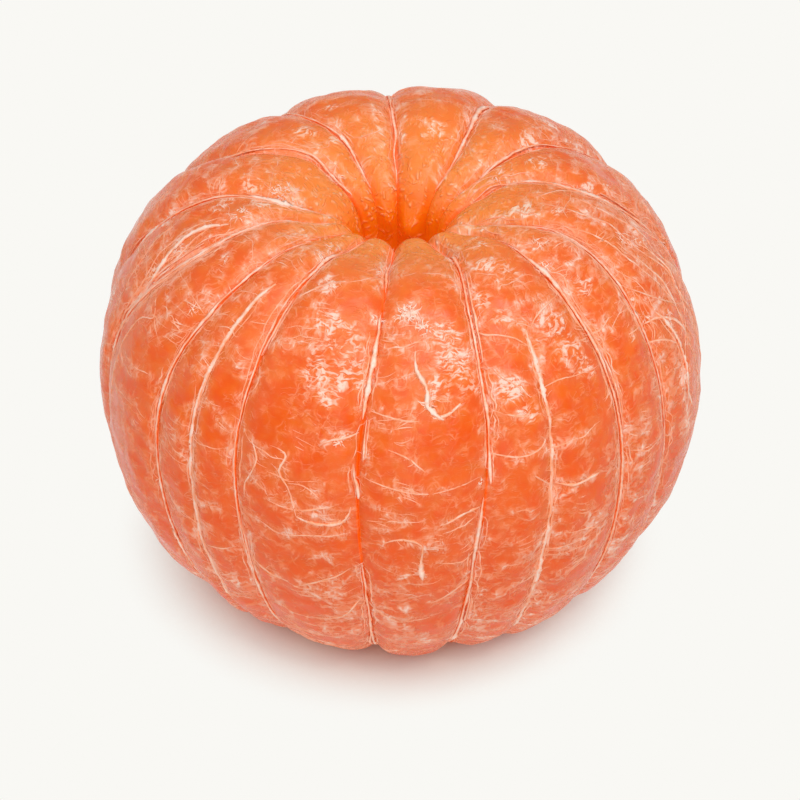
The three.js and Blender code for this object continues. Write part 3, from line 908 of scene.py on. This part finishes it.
def pithMaterial():
    # Albedo, the white fibrous pith of citrus, torn by hand: dull and creamy where thick, and pink with the
    # flesh behind it where a strand is thin.
    material, tree, shader = newMaterial("tornCitrusPith")
    bulk = addNode(tree, "ShaderNodeAttribute", {"attribute_name": "bulk"}).outputs["Fac"]
    place = addNode(tree, "ShaderNodeTexCoord").outputs["Object"]
    fibres = addNode(tree, "ShaderNodeTexNoise", None,
                     {"Vector": place, "Scale": pith["fibreGrain"], "Detail": 4.0, "Roughness": 0.6})
    blotch = addNode(tree, "ShaderNodeTexNoise", None,
                     {"Vector": place, "Scale": pith["blotchGrain"], "Detail": 3.0})
    white = addNode(tree, "ShaderNodeAttribute", {"attribute_name": "white"}).outputs["Fac"]
    body = addNode(tree, "ShaderNodeMapRange", smooth,
                   {"Value": bulk, "From Min": pith["pale"][0] * mm, "From Max": pith["pale"][1] * mm})
    body = addNode(tree, "ShaderNodeMath", timesPlus, {0: white, 1: pith["ownWhite"], 2: body})
    # Whitest along the middle.
    spine = addNode(tree, "ShaderNodeAttribute", {"attribute_name": "spine"}).outputs["Vector"]
    away = addNode(tree, "ShaderNodeVectorMath", {"operation": "DISTANCE"}, {0: place, 1: spine})
    away = addNode(tree, "ShaderNodeMath", {"operation": "DIVIDE"}, {0: away.outputs["Value"], 1: bulk})
    start, end, least, most = pith["core"]
    core = addNode(tree, "ShaderNodeMapRange", smooth,
                   {"Value": away, "From Min": start, "From Max": end, "To Min": least, "To Max": most})
    body = addNode(tree, "ShaderNodeMath", {"operation": "ADD"}, {0: body, 1: core})
    mottled, streaked = [
        addNode(tree, "ShaderNodeMath", timesPlus, {0: noise, 1: strength, 2: start})
        for noise, (strength, start) in ((blotch, pith["mottling"]), (fibres, pith["streaking"]))
    ]
    body = addNode(tree, "ShaderNodeMath", {"operation": "ADD"}, {0: body, 1: mottled})
    body = addNode(tree, "ShaderNodeMath", {"operation": "ADD", "use_clamp": True}, {0: body, 1: streaked})
    colour = addNode(tree, "ShaderNodeMix", {"data_type": "RGBA"},
                     {0: body, 6: toLinear(pith["thinColour"]), 7: toLinear(pith["thickColour"])})
    tree.links.new(colour.outputs[2], shader.inputs["Base Color"])
    # A painted glow along the thin edges of a strand, which lightens them where they lie in shade.
    start, end = pith["thinEdge"]
    paintedEdgeGlow = addNode(tree, "ShaderNodeMapRange", smooth, {"Value": away, "From Min": start, "From Max": end})
    paintedEdgeGlow = addNode(tree, "ShaderNodeMix", {"data_type": "RGBA"},
                   {0: paintedEdgeGlow, 6: (0, 0, 0, 1), 7: toLinear(pith["glow"])})
    tree.links.new(paintedEdgeGlow.outputs[2], shader.inputs["Emission Color"])
    shader.inputs["Emission Strength"].default_value = pith["paintedGlowStrength"]
    bump = addNode(tree, "ShaderNodeBump", None,
                   {"Strength": pith["bump"], "Distance": pith["bumpDepth"] * mm, "Height": fibres})
    tree.links.new(bump.outputs["Normal"], shader.inputs["Normal"])
    shader.inputs["Roughness"].default_value = pith["roughness"]
    return material


pithFinish = pithMaterial()
strands = strandTree()
pithCollection = bpy.data.collections.new("pith")
skinCollection = bpy.data.collections.new("skin")


def growPith(name, groups, sides=pith["sides"], step=pith["step"]):
    piece = grow(name, pathMesh(name, groups), strands, {
        "Step": step * mm, "Sides": sides, "Thickness": pith["thickness"], "Waver": pith["waver"] * 2 * mm,
        "Waver Size": pith["waverSize"] * mm, "Fray": pith["fray"], "Skin": skinCollection,
        "Material": pithFinish,
    })
    pithCollection.objects.link(piece)
    return piece


def finishPiece(piece, slot, *nodes):
    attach(piece, "root")
    if nodes:
        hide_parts(*nodes)


def reliefTree():
    # Lifts a back over its juice sacs.
    tree, given = newGeometryTree("segmentRelief", {
        "Sac Length": "Float", "Sac Width": "Float", "Sac Relief": "Float", "Lump Relief": "Float",
    })
    place, edge = [addNode(tree, "GeometryNodeInputNamedAttribute", {"data_type": kind}, {"Name": name})
                   for name, kind in (("skinMap", "FLOAT_VECTOR"), ("edge", "FLOAT"))]
    bends = addNode(tree, "ShaderNodeTexNoise", None,
                    {"Vector": place, "Scale": membrane["sacBendGrain"], "Detail": 2.0})
    bent = addNode(tree, "ShaderNodeVectorMath", timesPlus,
                   {0: bends.outputs["Color"], 1: (membrane["sacBend"],) * 2 + (0.0,), 2: place})
    size = addNode(tree, "ShaderNodeCombineXYZ", None,
                   {"X": given["Sac Width"], "Y": given["Sac Length"], "Z": 1.0})
    sacs = addNode(tree, "ShaderNodeVectorMath", {"operation": "DIVIDE"}, {0: bent, 1: size})
    cells = addNode(tree, "ShaderNodeTexVoronoi", {"feature": "SMOOTH_F1"},
                    {"Vector": sacs, "Scale": 1.0, "Smoothness": 0.5})
    raised = addNode(tree, "ShaderNodeMapRange", None,
                     {"Value": cells, "From Min": 0.0, "From Max": 0.8, "To Min": 0.5, "To Max": -0.5})
    raised = addNode(tree, "ShaderNodeMath", times, {0: raised, 1: given["Sac Relief"]})
    lumps = addNode(tree, "ShaderNodeTexNoise", None,
                    {"Vector": place, "Scale": membrane["lumpGrain"], "Detail": 1.0})
    lumps = addNode(tree, "ShaderNodeMath", minus, {0: lumps.outputs[0], 1: 0.5})
    lift = addNode(tree, "ShaderNodeMath", timesPlus, {0: lumps, 1: given["Lump Relief"], 2: raised})
    inland = addNode(tree, "ShaderNodeMapRange", smooth, {"Value": edge, "From Min": 0.1, "From Max": 1.4})
    lift = addNode(tree, "ShaderNodeMath", times, {0: lift, 1: inland})
    out = addNode(tree, "ShaderNodeVectorMath", {"operation": "SCALE"},
                  {0: addNode(tree, "GeometryNodeInputNormal"), "Scale": lift})
    mesh = addNode(tree, "GeometryNodeSetPosition", None, {"Geometry": given["Geometry"], "Offset": out})
    mesh = keepAboveTable(tree, mesh)
    addNode(tree, "NodeGroupOutput", None, {"Geometry": mesh})
    return tree


def nearPithTree():
    # Notes on each point of a skin how near the pith lies.
    tree, given = newGeometryTree("nearPith", {
        "Pith": "Collection", "Film Reach": "Float", "Material": "Material",
    })
    allPith = addNode(tree, "GeometryNodeCollectionInfo", None, {"Collection": given["Pith"]})
    allPith = addNode(tree, "GeometryNodeRealizeInstances", None, {0: allPith})
    near = addNode(tree, "GeometryNodeProximity", {"target_element": "FACES"}, {"Target": allPith})
    near = addNode(tree, "ShaderNodeMapRange", smooth,
                   {"Value": near.outputs["Distance"], "From Min": 0.0, "From Max": given["Film Reach"],
                    "To Min": 1.0, "To Max": 0.0})
    mesh = addNode(tree, "GeometryNodeStoreNamedAttribute", {"data_type": "FLOAT", "domain": "POINT"},
                   {"Geometry": given["Geometry"], "Name": "pithNear", "Value": near})
    return endTree(tree, mesh, given["Material"])


# The membrane's colours, and its patterns in millimetres.
membrane = {
    "flesh": "#EB590B",
    "fleshLight": "#ED6916",
    # Slightly redder flesh towards the bottom: painted shade.
    "fleshLowPaintedShade": "#EC570A",
    # Lighter, yellower flesh near the crown: painted light through the thin rim.
    "fleshCrownPaintedLight": "#F78A38",
    # Brighter, more saturated flesh deep in the grooves: painted light where they lie in shade.
    "fleshInGroovePaintedLight": "#EF5E06",
    # Saturated, yellower flesh on the wall of the hole: painted light that stands for light through the
    # flesh.
    "fleshInHolePaintedLight": "#E27000",
    "veil": "#FC9E6C",
    "scrap": "#FFD0BE",
    # Lighter, warmer veil and scrap near the crown: painted light through the thin rim.
    "veilCrown": "#FFA870",
    "scrapCrown": "#FFDCC0",
    "glow": "#FF7A10",       # painted glow, which stands for light that has come through the flesh
    "paintedGlowStrength": 0.18,
    "paintedGlowInGroove": 1.1,
    "paintedGlowInHole": 0.9,
    "sacWidth": 1.7,
    "sacLength": 2.9,
    "sacRelief": 0.14,
    "sacBend": 2.5,          # how far the rows of sacs wander, and the noise that they follow
    "sacBendGrain": 0.35,
    "lumpRelief": 0.8,
    "lumpGrain": 0.22,
    "bend": 2.2,             # and the same of the patterns
    "bendGrain": 0.5,
    "patchGrain": 0.24,
    "gateGrain": 0.6,
    "beadStretch": (1.6, 1.9, 1.0),
    "filmReach": 0.9,
    "netAlong": 0.95,        # the meshes of the fine net over the sacs
    "netAcross": 2.3,
    "besideStrands": (0.17, 0.26),   # least veil beside a strand, and how much more in patches
    "combed": (0.38, 0.62, 0.35, 1.3),  # noise from and to, and how much of the veil at each
    "bareInGroove": 0.8,
    "bareInHole": 0.85,
    "granulesInHole": 0.5,
    "scrapFrom": 0.35,       # the veil from which it has a scrap's colour
    "crinkleGloss": 0.6,
    "slackDensity": 0.5,
    "roughness": (0.16, 0.55),       # wet, and where the pith is dull
    "lightThrough": (0.7, 0.05),     # the flesh lets it through, the pith hardly
    "dense": 0.6,            # the veil that lets the least through
    "lightReach": (1.0, 0.3, 0.12),  # red, green and blue, times the scale
    "lightScale": 0.0015,
    "ior": 1.36,
    "zones": {               # where the look changes: measured along what, from where, to where
        "low": ("Z", 40.0, 8.0),
        "top": ("Z", 35.0, 43.0),
        "high": ("Z", 37.5, 42.0),
        "sunk": ("Z", 43.6, 39.5),
        "right": ("X", 6.0, 30.0),
        "left": ("X", -4.0, -22.0),
        "crown": ("ring", 21.0, 7.0),
        "throat": ("ring", 10.5, 5.8),
    },
    "grains": {              # noises: stretch along and across the back, detail, roughness, distortion
        "threads": ((1.5, 0.45, 1.0), 2.0, 0.5, 0.0),
        "blotches": ((1.3, 0.7, 1.0), 5.0, 0.66, 0.0),
        "streaks": ((5.0, 1.3, 3.0), 3.0, 0.6, 0.0),
        "wrinkles": ((2.8, 1.3, 1.5), 2.0, 0.55, 0.6),
        "comb": ((0.9, 4.5, 1.0), 3.0, 0.5, 0.0),
    },
    "marks": {               # of each pattern: where it starts, where it is full, how strong
        "threads": (0.03, 0.0, 1.0),     # thin threads that run across the back
        "seams": (0.09, 0.0, 0.8),       # and seams that meet in forks
        "gate": (0.42, 0.62, 1.0),
        "net": (0.13, 0.0, 1.0),         # the fine net over the ends of the sacs
        "netGate": (0.74, 0.94, 1.0),
        "film": (0.82, 1.04, 1.0),       # a soft film
        "torn": (0.91, 1.07, 1.0),       # ragged scraps, feathered across the back
        "folds": (0.44, 0.56, 1.0),
        "slack": (0.82, 1.12, 1.0),      # slack, crinkled spots
        "puffed": (0.45, 0.57, 1.0),
        "beaded": (0.5, 0.12, 1.0),      # beads of juice sac that show at the rim
        "paleBeads": (0.2, 0.8, 1.0),
        "clusters": (0.4, 0.5, 1.0),
        "inGroove": (0.22, 0.04, 1.0),
        "light": (0.35, 0.65, 1.0),
    },
    "cover": {               # how much each layer veils the flesh, and how much more in a zone
        "film": (0.11, ("low", 0.15), ("right", 0.2)),
        "lines": (0.34, ("low", 0.1)),
        "net": (0.1, ("low", 0.2)),
        "scraps": (0.18, ("low", -0.02), ("left", -0.12)),
        "crinkled": (0.38,),
        "paleBeads": (0.5,),
        "paleEdge": (0.45,),
        # The top is paler for its pale lines and the rim for its cream edges, and both partly for a painted
        # sheen.
        "top": (0.12, ("crown", -0.1)),
        "rim": (0.07,),
        # Extra pale where the crinkle spots lie: pale slack film, and partly a painted highlight.
        "bright": (0.26,),
    },
    "heights": {             # of each layer
        "dull": 0.08,
        "streaks": 0.016,
        "blotches": 0.05,
        "beaded": 0.06,
        "granules": 0.05,
        "ripple": 0.16,
    },
}


relief = reliefTree()
skins = []
for index, node in enumerate(segmentNodes):
    name = f"juicy_{node}"
    skins.append(grow(name, segmentMesh(index, name), relief, {
        "Sac Length": membrane["sacLength"], "Sac Width": membrane["sacWidth"],
        "Sac Relief": membrane["sacRelief"] * mm, "Lump Relief": membrane["lumpRelief"] * mm,
    }))
    skinCollection.objects.link(skins[-1])
print("segments:", sum(len(piece.data.polygons) for piece in skins), "faces")

rng = random.Random(pith["seed"])
count = len(fruit["grooves"])
grownPith = []
for index, node in enumerate(stringNodes):
    known = knownStrands[index]
    runs = list(known) + looseRuns(rng, min(known[0][-1][0], known[-1][-1][0]), pith["bottom"])
    paths = grooveCourse(index, runs)
    groups = strandGroups(rng, paths, pith["bundles"].get(index, 1.0), 0.0)
    grownPith.append((growPith(f"torn_{node}", groups), (node,)))
for index, node in zip(sorted(fruit["furrows"]), furrowNodes):
    groups = strandGroups(rng, furrowCourse(index, knownFurrowStrands[index]), 1.0, 1.0)
    grownPith.append((growPith(f"torn_{node}", groups), (node,)))
print("strands of pith:", sum(len(piece.data.polygons) for piece, _ in grownPith), "faces")


def segmentOf(azimuth, turn):
    radius, height = profile(turn)
    grooves = [math.degrees(float(grooveAzimuth(i, radius, height))) for i in range(count)]
    azimuth = grooves[0] + (azimuth - grooves[0]) % 360
    return sum(azimuth >= groove for groove in grooves) - 1


veins = [[] for _ in range(count)]
clots = [[] for _ in range(count)]
for azimuth, turn, radius, fibres in knownClots:
    clots[segmentOf(azimuth, turn)] += clotFibres(rng, azimuth, turn, radius, fibres)
for width, *places in knownVeins:
    middle = places[len(places) // 2]
    path = [(a, t, width * (0.4 if k in (0, len(places) - 1) else rng.uniform(0.8, 1.2)))
            for k, (a, t) in enumerate(places)]
    veins[segmentOf(*middle)] += [path] + sideHairs(rng, path)
for index in range(count):
    veins[index] += backRungs(rng, index) + fibreTufts(rng, index)
    name = f"back_veins_{index + 1:02d}"
    groups = [(clots[index], pith["white"]["clot"], 1.0), (veins[index], pith["white"]["vein"], 1.0)]
    grownPith.append((growPith(name, groups, pith["backSides"], pith["backStep"]), ()))
print("with the veins on the backs:", sum(len(piece.data.polygons) for piece, _ in grownPith), "faces")


def membraneMaterial():
    # The wet, clear membrane of a citrus segment over its juice sacs, peeled by hand: saturated orange flesh
    # shows through, veiled here and there by threads and scraps of pale pith, and where it is slack it
    # crinkles and catches the light in small sharp glints.
    material, tree, shader = newMaterial("wetCitrusMembrane")
    place = addNode(tree, "ShaderNodeAttribute", {"attribute_name": "skinMap"}).outputs["Vector"]
    near, crinkle, edge = [addNode(tree, "ShaderNodeAttribute", {"attribute_name": name}).outputs["Fac"]
                           for name in ("pithNear", "crinkle", "edge")]
    where = addNode(tree, "ShaderNodeTexCoord").outputs["Object"]
    where = addNode(tree, "ShaderNodeSeparateXYZ", None, {0: where})
    squares = [addNode(tree, "ShaderNodeMath", {"operation": "POWER"}, {0: where.outputs[axis], 1: 2.0})
               for axis in "XY"]
    ring = addNode(tree, "ShaderNodeMath", {"operation": "ADD"}, {0: squares[0], 1: squares[1]})
    ring = addNode(tree, "ShaderNodeMath", {"operation": "SQRT"}, {0: ring})
    measures = {"X": where.outputs["X"], "Z": where.outputs["Z"], "ring": ring}
    layers = {name: addNode(tree, "ShaderNodeMapRange", smooth,
                            {"Value": measures[measure], "From Min": start * mm, "From Max": end * mm})
              for name, (measure, start, end) in membrane["zones"].items()}
    layers["crinkle"] = crinkle

    # The patterns: noises on bent coordinates, cells the size of juice sacs and of the net, and beads.
    bends, patches, gate = [
        addNode(tree, "ShaderNodeTexNoise", None,
                {"Vector": place, "Scale": membrane[grain], "Detail": detail})
        for grain, detail in (("bendGrain", 2.0), ("patchGrain", 2.0), ("gateGrain", 3.0))
    ]
    bent = addNode(tree, "ShaderNodeVectorMath", timesPlus,
                   {0: bends.outputs["Color"], 1: (membrane["bend"],) * 2 + (0.0,), 2: place})
    for name, (stretch, detail, roughness, distortion) in membrane["grains"].items():
        stretched = addNode(tree, "ShaderNodeVectorMath", times, {0: bent, 1: stretch})
        layers[name] = addNode(tree, "ShaderNodeTexNoise", None, {
            "Vector": stretched, "Scale": 1.0, "Detail": detail, "Roughness": roughness,
            "Distortion": distortion,
        })
    threads = addNode(tree, "ShaderNodeMath", minus, {0: layers["threads"], 1: 0.5})
    threads = addNode(tree, "ShaderNodeMath", {"operation": "ABSOLUTE"}, {0: threads})
    toEdge = []
    for along, across in (("sacLength", "sacWidth"), ("netAlong", "netAcross")):
        size = (membrane[along], membrane[across], 1.0)
        cells = addNode(tree, "ShaderNodeVectorMath", {"operation": "DIVIDE"}, {0: bent, 1: size})
        toEdge.append(addNode(tree, "ShaderNodeTexVoronoi", {"feature": "DISTANCE_TO_EDGE"},
                              {"Vector": cells, "Scale": 1.0}))
    leaning = addNode(tree, "ShaderNodeMath", timesPlus, {0: patches, 1: 0.7, 2: layers["blotches"]})
    slack = addNode(tree, "ShaderNodeMath", timesPlus, {0: layers["blotches"], 1: 0.8, 2: crinkle})
    beadAt = addNode(tree, "ShaderNodeVectorMath", times, {0: bent, 1: membrane["beadStretch"]})
    beads = addNode(tree, "ShaderNodeTexVoronoi", {"feature": "F1"}, {"Vector": beadAt, "Scale": 1.0})
    beadTone = addNode(tree, "ShaderNodeSeparateColor", None, {0: beads.outputs["Color"]})
    patterns = {
        "threads": threads, "seams": toEdge[0], "net": toEdge[1], "gate": gate, "netGate": leaning,
        "film": leaning, "torn": leaning, "folds": layers["streaks"], "slack": slack,
        "puffed": layers["wrinkles"], "beaded": beads.outputs["Distance"],
        "paleBeads": beadTone.outputs[0], "clusters": patches, "inGroove": edge, "light": bends.outputs[0],
    }
    for name, (start, end, most) in membrane["marks"].items():
        layers[name] = addNode(tree, "ShaderNodeMapRange", smooth, {
            "Value": patterns[name], "From Min": start, "From Max": end, "To Max": most,
        })
    layers["lines"] = addNode(tree, "ShaderNodeMath", {"operation": "MAXIMUM"},
                              {0: layers["threads"], 1: layers["seams"]})
    layers["feathered"] = addNode(tree, "ShaderNodeMath", timesPlus, {0: layers["folds"], 1: 0.75, 2: 0.25})
    for name, layer, within in (
        ("rim", "crown", "high"), ("inHole", "sunk", "throat"), ("lines", "lines", "gate"),
        ("scraps", "torn", "feathered"), ("net", "net", "netGate"), ("crinkled", "slack", "puffed"),
        ("granules", "beaded", "inHole"), ("granules", "granules", "clusters"), ("beaded", "beaded", "rim"),
        ("paleBeads", "paleBeads", "beaded"), ("paleEdge", "inGroove", "rim"),
        # the extra pale where the crinkle spots lie, partly a painted highlight
        ("bright", "crinkled", "crinkle"),
    ):
        layers[name] = addNode(tree, "ShaderNodeMath", times, {0: layers[layer], 1: layers[within]})

    # How much pale pith veils the flesh.
    veil = 0.0
    for name, (amount, *more) in membrane["cover"].items():
        for zone, extra in more:
            amount = addNode(tree, "ShaderNodeMath", timesPlus, {0: layers[zone], 1: extra, 2: amount})
        veil = addNode(tree, "ShaderNodeMath", timesPlus, {0: layers[name], 1: amount, 2: veil})
    # Beside the strands it is combed along them.
    start, end, least, most = membrane["combed"]
    comb = addNode(tree, "ShaderNodeMapRange", None, {
        "Value": layers["comb"], "From Min": start, "From Max": end, "To Min": least, "To Max": most,
    })
    bare = addNode(tree, "ShaderNodeMath", timesPlus,
                   {0: layers["inGroove"], 1: -membrane["bareInGroove"], 2: 1.0})
    least, more = membrane["besideStrands"]
    beside = addNode(tree, "ShaderNodeMath", timesPlus, {0: layers["gate"], 1: more, 2: least})
    for share in (near, comb, bare):
        beside = addNode(tree, "ShaderNodeMath", times, {0: beside, 1: share})
    veil = addNode(tree, "ShaderNodeMath", {"operation": "ADD"}, {0: beside, 1: veil})
    # The wall of the hole has little of it, but for its granules.
    outside = addNode(tree, "ShaderNodeMath", timesPlus,
                      {0: layers["inHole"], 1: -membrane["bareInHole"], 2: 1.0})
    veil = addNode(tree, "ShaderNodeMath", times, {0: veil, 1: outside})
    veil = addNode(tree, "ShaderNodeMath", {"operation": "MULTIPLY_ADD", "use_clamp": True},
                   {0: layers["granules"], 1: membrane["granulesInHole"], 2: veil})

    flesh = toLinear(membrane["flesh"])
    # Flesh colours mixed in by zone: lighter in random patches, which is its own tone; lighter and yellower
    # near the crown, brighter in the grooves and saturated on the wall of the hole, which are painted light;
    # and slightly redder towards the bottom, which is painted shade.
    for name, colour in (("light", "fleshLight"), ("low", "fleshLowPaintedShade"), ("crown", "fleshCrownPaintedLight"),
                         ("inGroove", "fleshInGroovePaintedLight"), ("inHole", "fleshInHolePaintedLight")):
        flesh = addNode(tree, "ShaderNodeMix", {"data_type": "RGBA"},
                        {0: layers[name], 6: flesh, 7: toLinear(membrane[colour])}).outputs[2]
    # Near the crown the pale veil and scraps are lighter and warmer: painted light through the thin rim.
    film, scrap = [addNode(tree, "ShaderNodeMix", {"data_type": "RGBA"}, {
        0: layers["crown"], 6: toLinear(membrane[name]), 7: toLinear(membrane[name + "Crown"]),
    }).outputs[2] for name in ("veil", "scrap")]
    white = addNode(tree, "ShaderNodeMapRange", None,
                    {"Value": veil, "From Min": membrane["scrapFrom"], "From Max": 1.0})
    pale = addNode(tree, "ShaderNodeMix", {"data_type": "RGBA"}, {0: white, 6: film, 7: scrap}).outputs[2]
    colour = addNode(tree, "ShaderNodeMix", {"data_type": "RGBA"}, {0: veil, 6: flesh, 7: pale})
    tree.links.new(colour.outputs[2], shader.inputs["Base Color"])
    # A painted glow in the hole and deep in the grooves, which lightens them where they lie in shade; it
    # stands for light that has come through the flesh.
    paintedGlow = addNode(tree, "ShaderNodeMath", times, {0: layers["inHole"], 1: membrane["paintedGlowInHole"]})
    paintedGlow = addNode(tree, "ShaderNodeMath", timesPlus,
                  {0: layers["inGroove"], 1: membrane["paintedGlowInGroove"], 2: paintedGlow})
    paintedGlow = addNode(tree, "ShaderNodeMix", {"data_type": "RGBA"},
                  {0: paintedGlow, 6: (0, 0, 0, 1), 7: toLinear(membrane["glow"])})
    tree.links.new(paintedGlow.outputs[2], shader.inputs["Emission Color"])
    shader.inputs["Emission Strength"].default_value = membrane["paintedGlowStrength"]

    layers["dull"] = addNode(tree, "ShaderNodeMath", timesPlus,
                             {0: layers["crinkled"], 1: -membrane["crinkleGloss"], 2: veil})
    ripple = addNode(tree, "ShaderNodeMath", minus, {0: layers["wrinkles"], 1: 0.5})
    layers["ripple"] = addNode(tree, "ShaderNodeMath", times, {0: ripple, 1: layers["slack"]})
    height = 0.0
    for name, rise in membrane["heights"].items():
        height = addNode(tree, "ShaderNodeMath", timesPlus, {0: layers[name], 1: rise, 2: height})
    bump = addNode(tree, "ShaderNodeBump", None, {"Strength": 1.0, "Distance": mm, "Height": height})
    tree.links.new(bump.outputs["Normal"], shader.inputs["Normal"])
    dense = addNode(tree, "ShaderNodeMath", timesPlus,
                    {0: layers["slack"], 1: membrane["slackDensity"], 2: veil})
    for socket, value, most, (start, end) in (
        ("Roughness", layers["dull"], 1.0, membrane["roughness"]),
        ("Subsurface Weight", dense, membrane["dense"], membrane["lightThrough"]),
    ):
        share = addNode(tree, "ShaderNodeMapRange", None,
                        {"Value": value, "From Max": most, "To Min": start, "To Max": end})
        tree.links.new(share.outputs[0], shader.inputs[socket])
    shader.inputs["IOR"].default_value = membrane["ior"]
    shader.inputs["Subsurface Radius"].default_value = membrane["lightReach"]
    shader.inputs["Subsurface Scale"].default_value = membrane["lightScale"]
    return material


flesh = membraneMaterial()
nearPith = nearPithTree()
for bare, node in zip(skins, segmentNodes):
    piece = grow(bare.name, bare.data, nearPith, {
        "Pith": pithCollection, "Film Reach": membrane["filmReach"] * mm, "Material": flesh,
    })
    bpy.data.objects.remove(bare)
    piece.name = f"juicy_{node}"
    finishPiece(piece, "segment_flesh", node)
for piece, nodes in grownPith:
    pithCollection.objects.unlink(piece)
    finishPiece(piece, "pith", *nodes)
bpy.data.collections.remove(pithCollection)
bpy.data.collections.remove(skinCollection)
print("flesh and pith finished")

# The studio: a glowing pale table with a painted shadow edge, a dim room, a soft light beside the camera and
# two overhead.
studio = {
    "elevation": 37.0,
    "distance": 526.0,
    "lens": 220.0,
    "aimDrop": 3.75,
    "room": 0.31,
    "roomColour": "#FFFEFC",
    "backdrop": "#F9F8F4",
    "floor": 6.0,            # metres across
    "shadeSamples": 16,
    "shadeReach": 14.0,
    "shade": (0.08, 0.64),   # darkest and lightest
    "paintedShadeLean": 4.0,        # painted: the shadow is lighter towards +X
    "table": "#E6E1D4",
    "lights": {  # azimuth, elevation, distance and diameter in metres, watts
        "frontSoftbox": (-2, 36, 1.2, 0.72, 2.2),
        "lowSoftbox": (0, 4, 1.2, 0.8, 2.3),
        "frontKey": (22, 55, 1.1, 0.16, 1.2),
        "overheadSoftbox": (10, 78, 1.2, 0.8, 4.65),
        "keySoftbox": (68, 70, 1.1, 0.24, 2.5),
        "leftSoftbox": (-80, 28, 1.2, 0.8, 1.15),
        "rightSoftbox": (84, 22, 1.2, 0.8, 0.5),
    },
}


def tableMaterial():
    # A glowing table, evenly pale, that shows its own lit and shaded surface only close under the fruit,
    # where the occlusion mask lets it through: a painted shadow edge, which is also painted lighter towards
    # +X.
    material, tree, shader = newMaterial("backlitOpalAcrylic")
    shader.inputs["Base Color"].default_value = toLinear(studio["table"])
    shader.inputs["Roughness"].default_value = 0.9
    shader.inputs["Specular IOR Level"].default_value = 0.0
    glow = addNode(tree, "ShaderNodeEmission", None, {"Color": toLinear(studio["backdrop"])})
    shade = addNode(tree, "ShaderNodeAmbientOcclusion", {"samples": studio["shadeSamples"]},
                    {"Distance": studio["shadeReach"] * mm})
    across = addNode(tree, "ShaderNodeTexCoord").outputs["Object"]
    across = addNode(tree, "ShaderNodeSeparateXYZ", None, {0: across})
    aside = addNode(tree, "ShaderNodeMath", {"operation": "MAXIMUM"}, {0: across.outputs["X"], 1: 0.0})
    leaning = addNode(tree, "ShaderNodeMath", timesPlus,
                      {0: aside, 1: studio["paintedShadeLean"], 2: shade.outputs["AO"]})
    clear = addNode(tree, "ShaderNodeMapRange", smooth,
                    {"Value": leaning, "From Min": studio["shade"][0], "From Max": studio["shade"][1]})
    both = addNode(tree, "ShaderNodeMixShader", None, {0: clear, 1: shader, 2: glow})
    tree.links.new(both.outputs[0], tree.nodes["Material Output"].inputs["Surface"])
    return material


def makeCamera():
    angle = math.radians(studio["elevation"])
    centre = Vector((0.1 * mm, 0, fruit["waist"] * mm))
    outward = Vector((0, -math.cos(angle), math.sin(angle)))
    up = Vector((0, math.sin(angle), math.cos(angle)))
    data = bpy.data.cameras.new("camera")
    data.lens = studio["lens"]
    data.sensor_width = 36
    data.clip_start = 0.05
    camera = bpy.data.objects.new("camera", data)
    bpy.context.collection.objects.link(camera)
    camera.location = centre + outward * studio["distance"] * mm
    aim = centre - up * studio["aimDrop"] * mm
    camera.rotation_euler = (aim - camera.location).to_track_quat("-Z", "Y").to_euler()
    bpy.context.scene.camera = camera


def makeFloor():
    half = studio["floor"] / 2
    mesh = bpy.data.meshes.new("floor")
    corners = [(-half, -half, 0), (half, -half, 0), (half, half, 0), (-half, half, 0)]
    mesh.from_pydata(corners, [], [(0, 1, 2, 3)])
    mesh.materials.append(tableMaterial())
    floor = bpy.data.objects.new("floor", mesh)
    bpy.context.collection.objects.link(floor)


def areaLight(name, azimuth, elevation, distance, size, power):
    data = bpy.data.lights.new(name, "AREA")
    data.shape = "DISK"
    data.size = size
    data.energy = power
    light = bpy.data.objects.new(name, data)
    bpy.context.collection.objects.link(light)
    a, e = math.radians(azimuth), math.radians(elevation)
    outward = Vector((math.sin(a) * math.cos(e), -math.cos(a) * math.cos(e), math.sin(e)))
    light.location = outward * distance
    light.rotation_euler = (-outward).to_track_quat("-Z", "Y").to_euler()


makeCamera()
makeFloor()
for name, values in studio["lights"].items():
    areaLight(name, *values)
world = bpy.data.worlds.new("studioWorld")
bpy.context.scene.world = world
world.use_nodes = True
room = world.node_tree.nodes["Background"]
room.inputs["Color"].default_value = toLinear(studio["roomColour"])
room.inputs["Strength"].default_value = studio["room"]
# The eye sees a pale backdrop behind the table, but the room's light is dimmer.
backdrop = addNode(world.node_tree, "ShaderNodeBackground", None, {"Color": toLinear(studio["backdrop"])})
seen = addNode(world.node_tree, "ShaderNodeLightPath").outputs["Is Camera Ray"]
either = addNode(world.node_tree, "ShaderNodeMixShader", None, {0: seen, 1: room, 2: backdrop})
world.node_tree.links.new(either.outputs[0], world.node_tree.nodes["World Output"].inputs["Surface"])
bpy.context.scene.view_settings.view_transform = "Standard"
print("studio: camera, floor,", len(studio["lights"]), "lights")
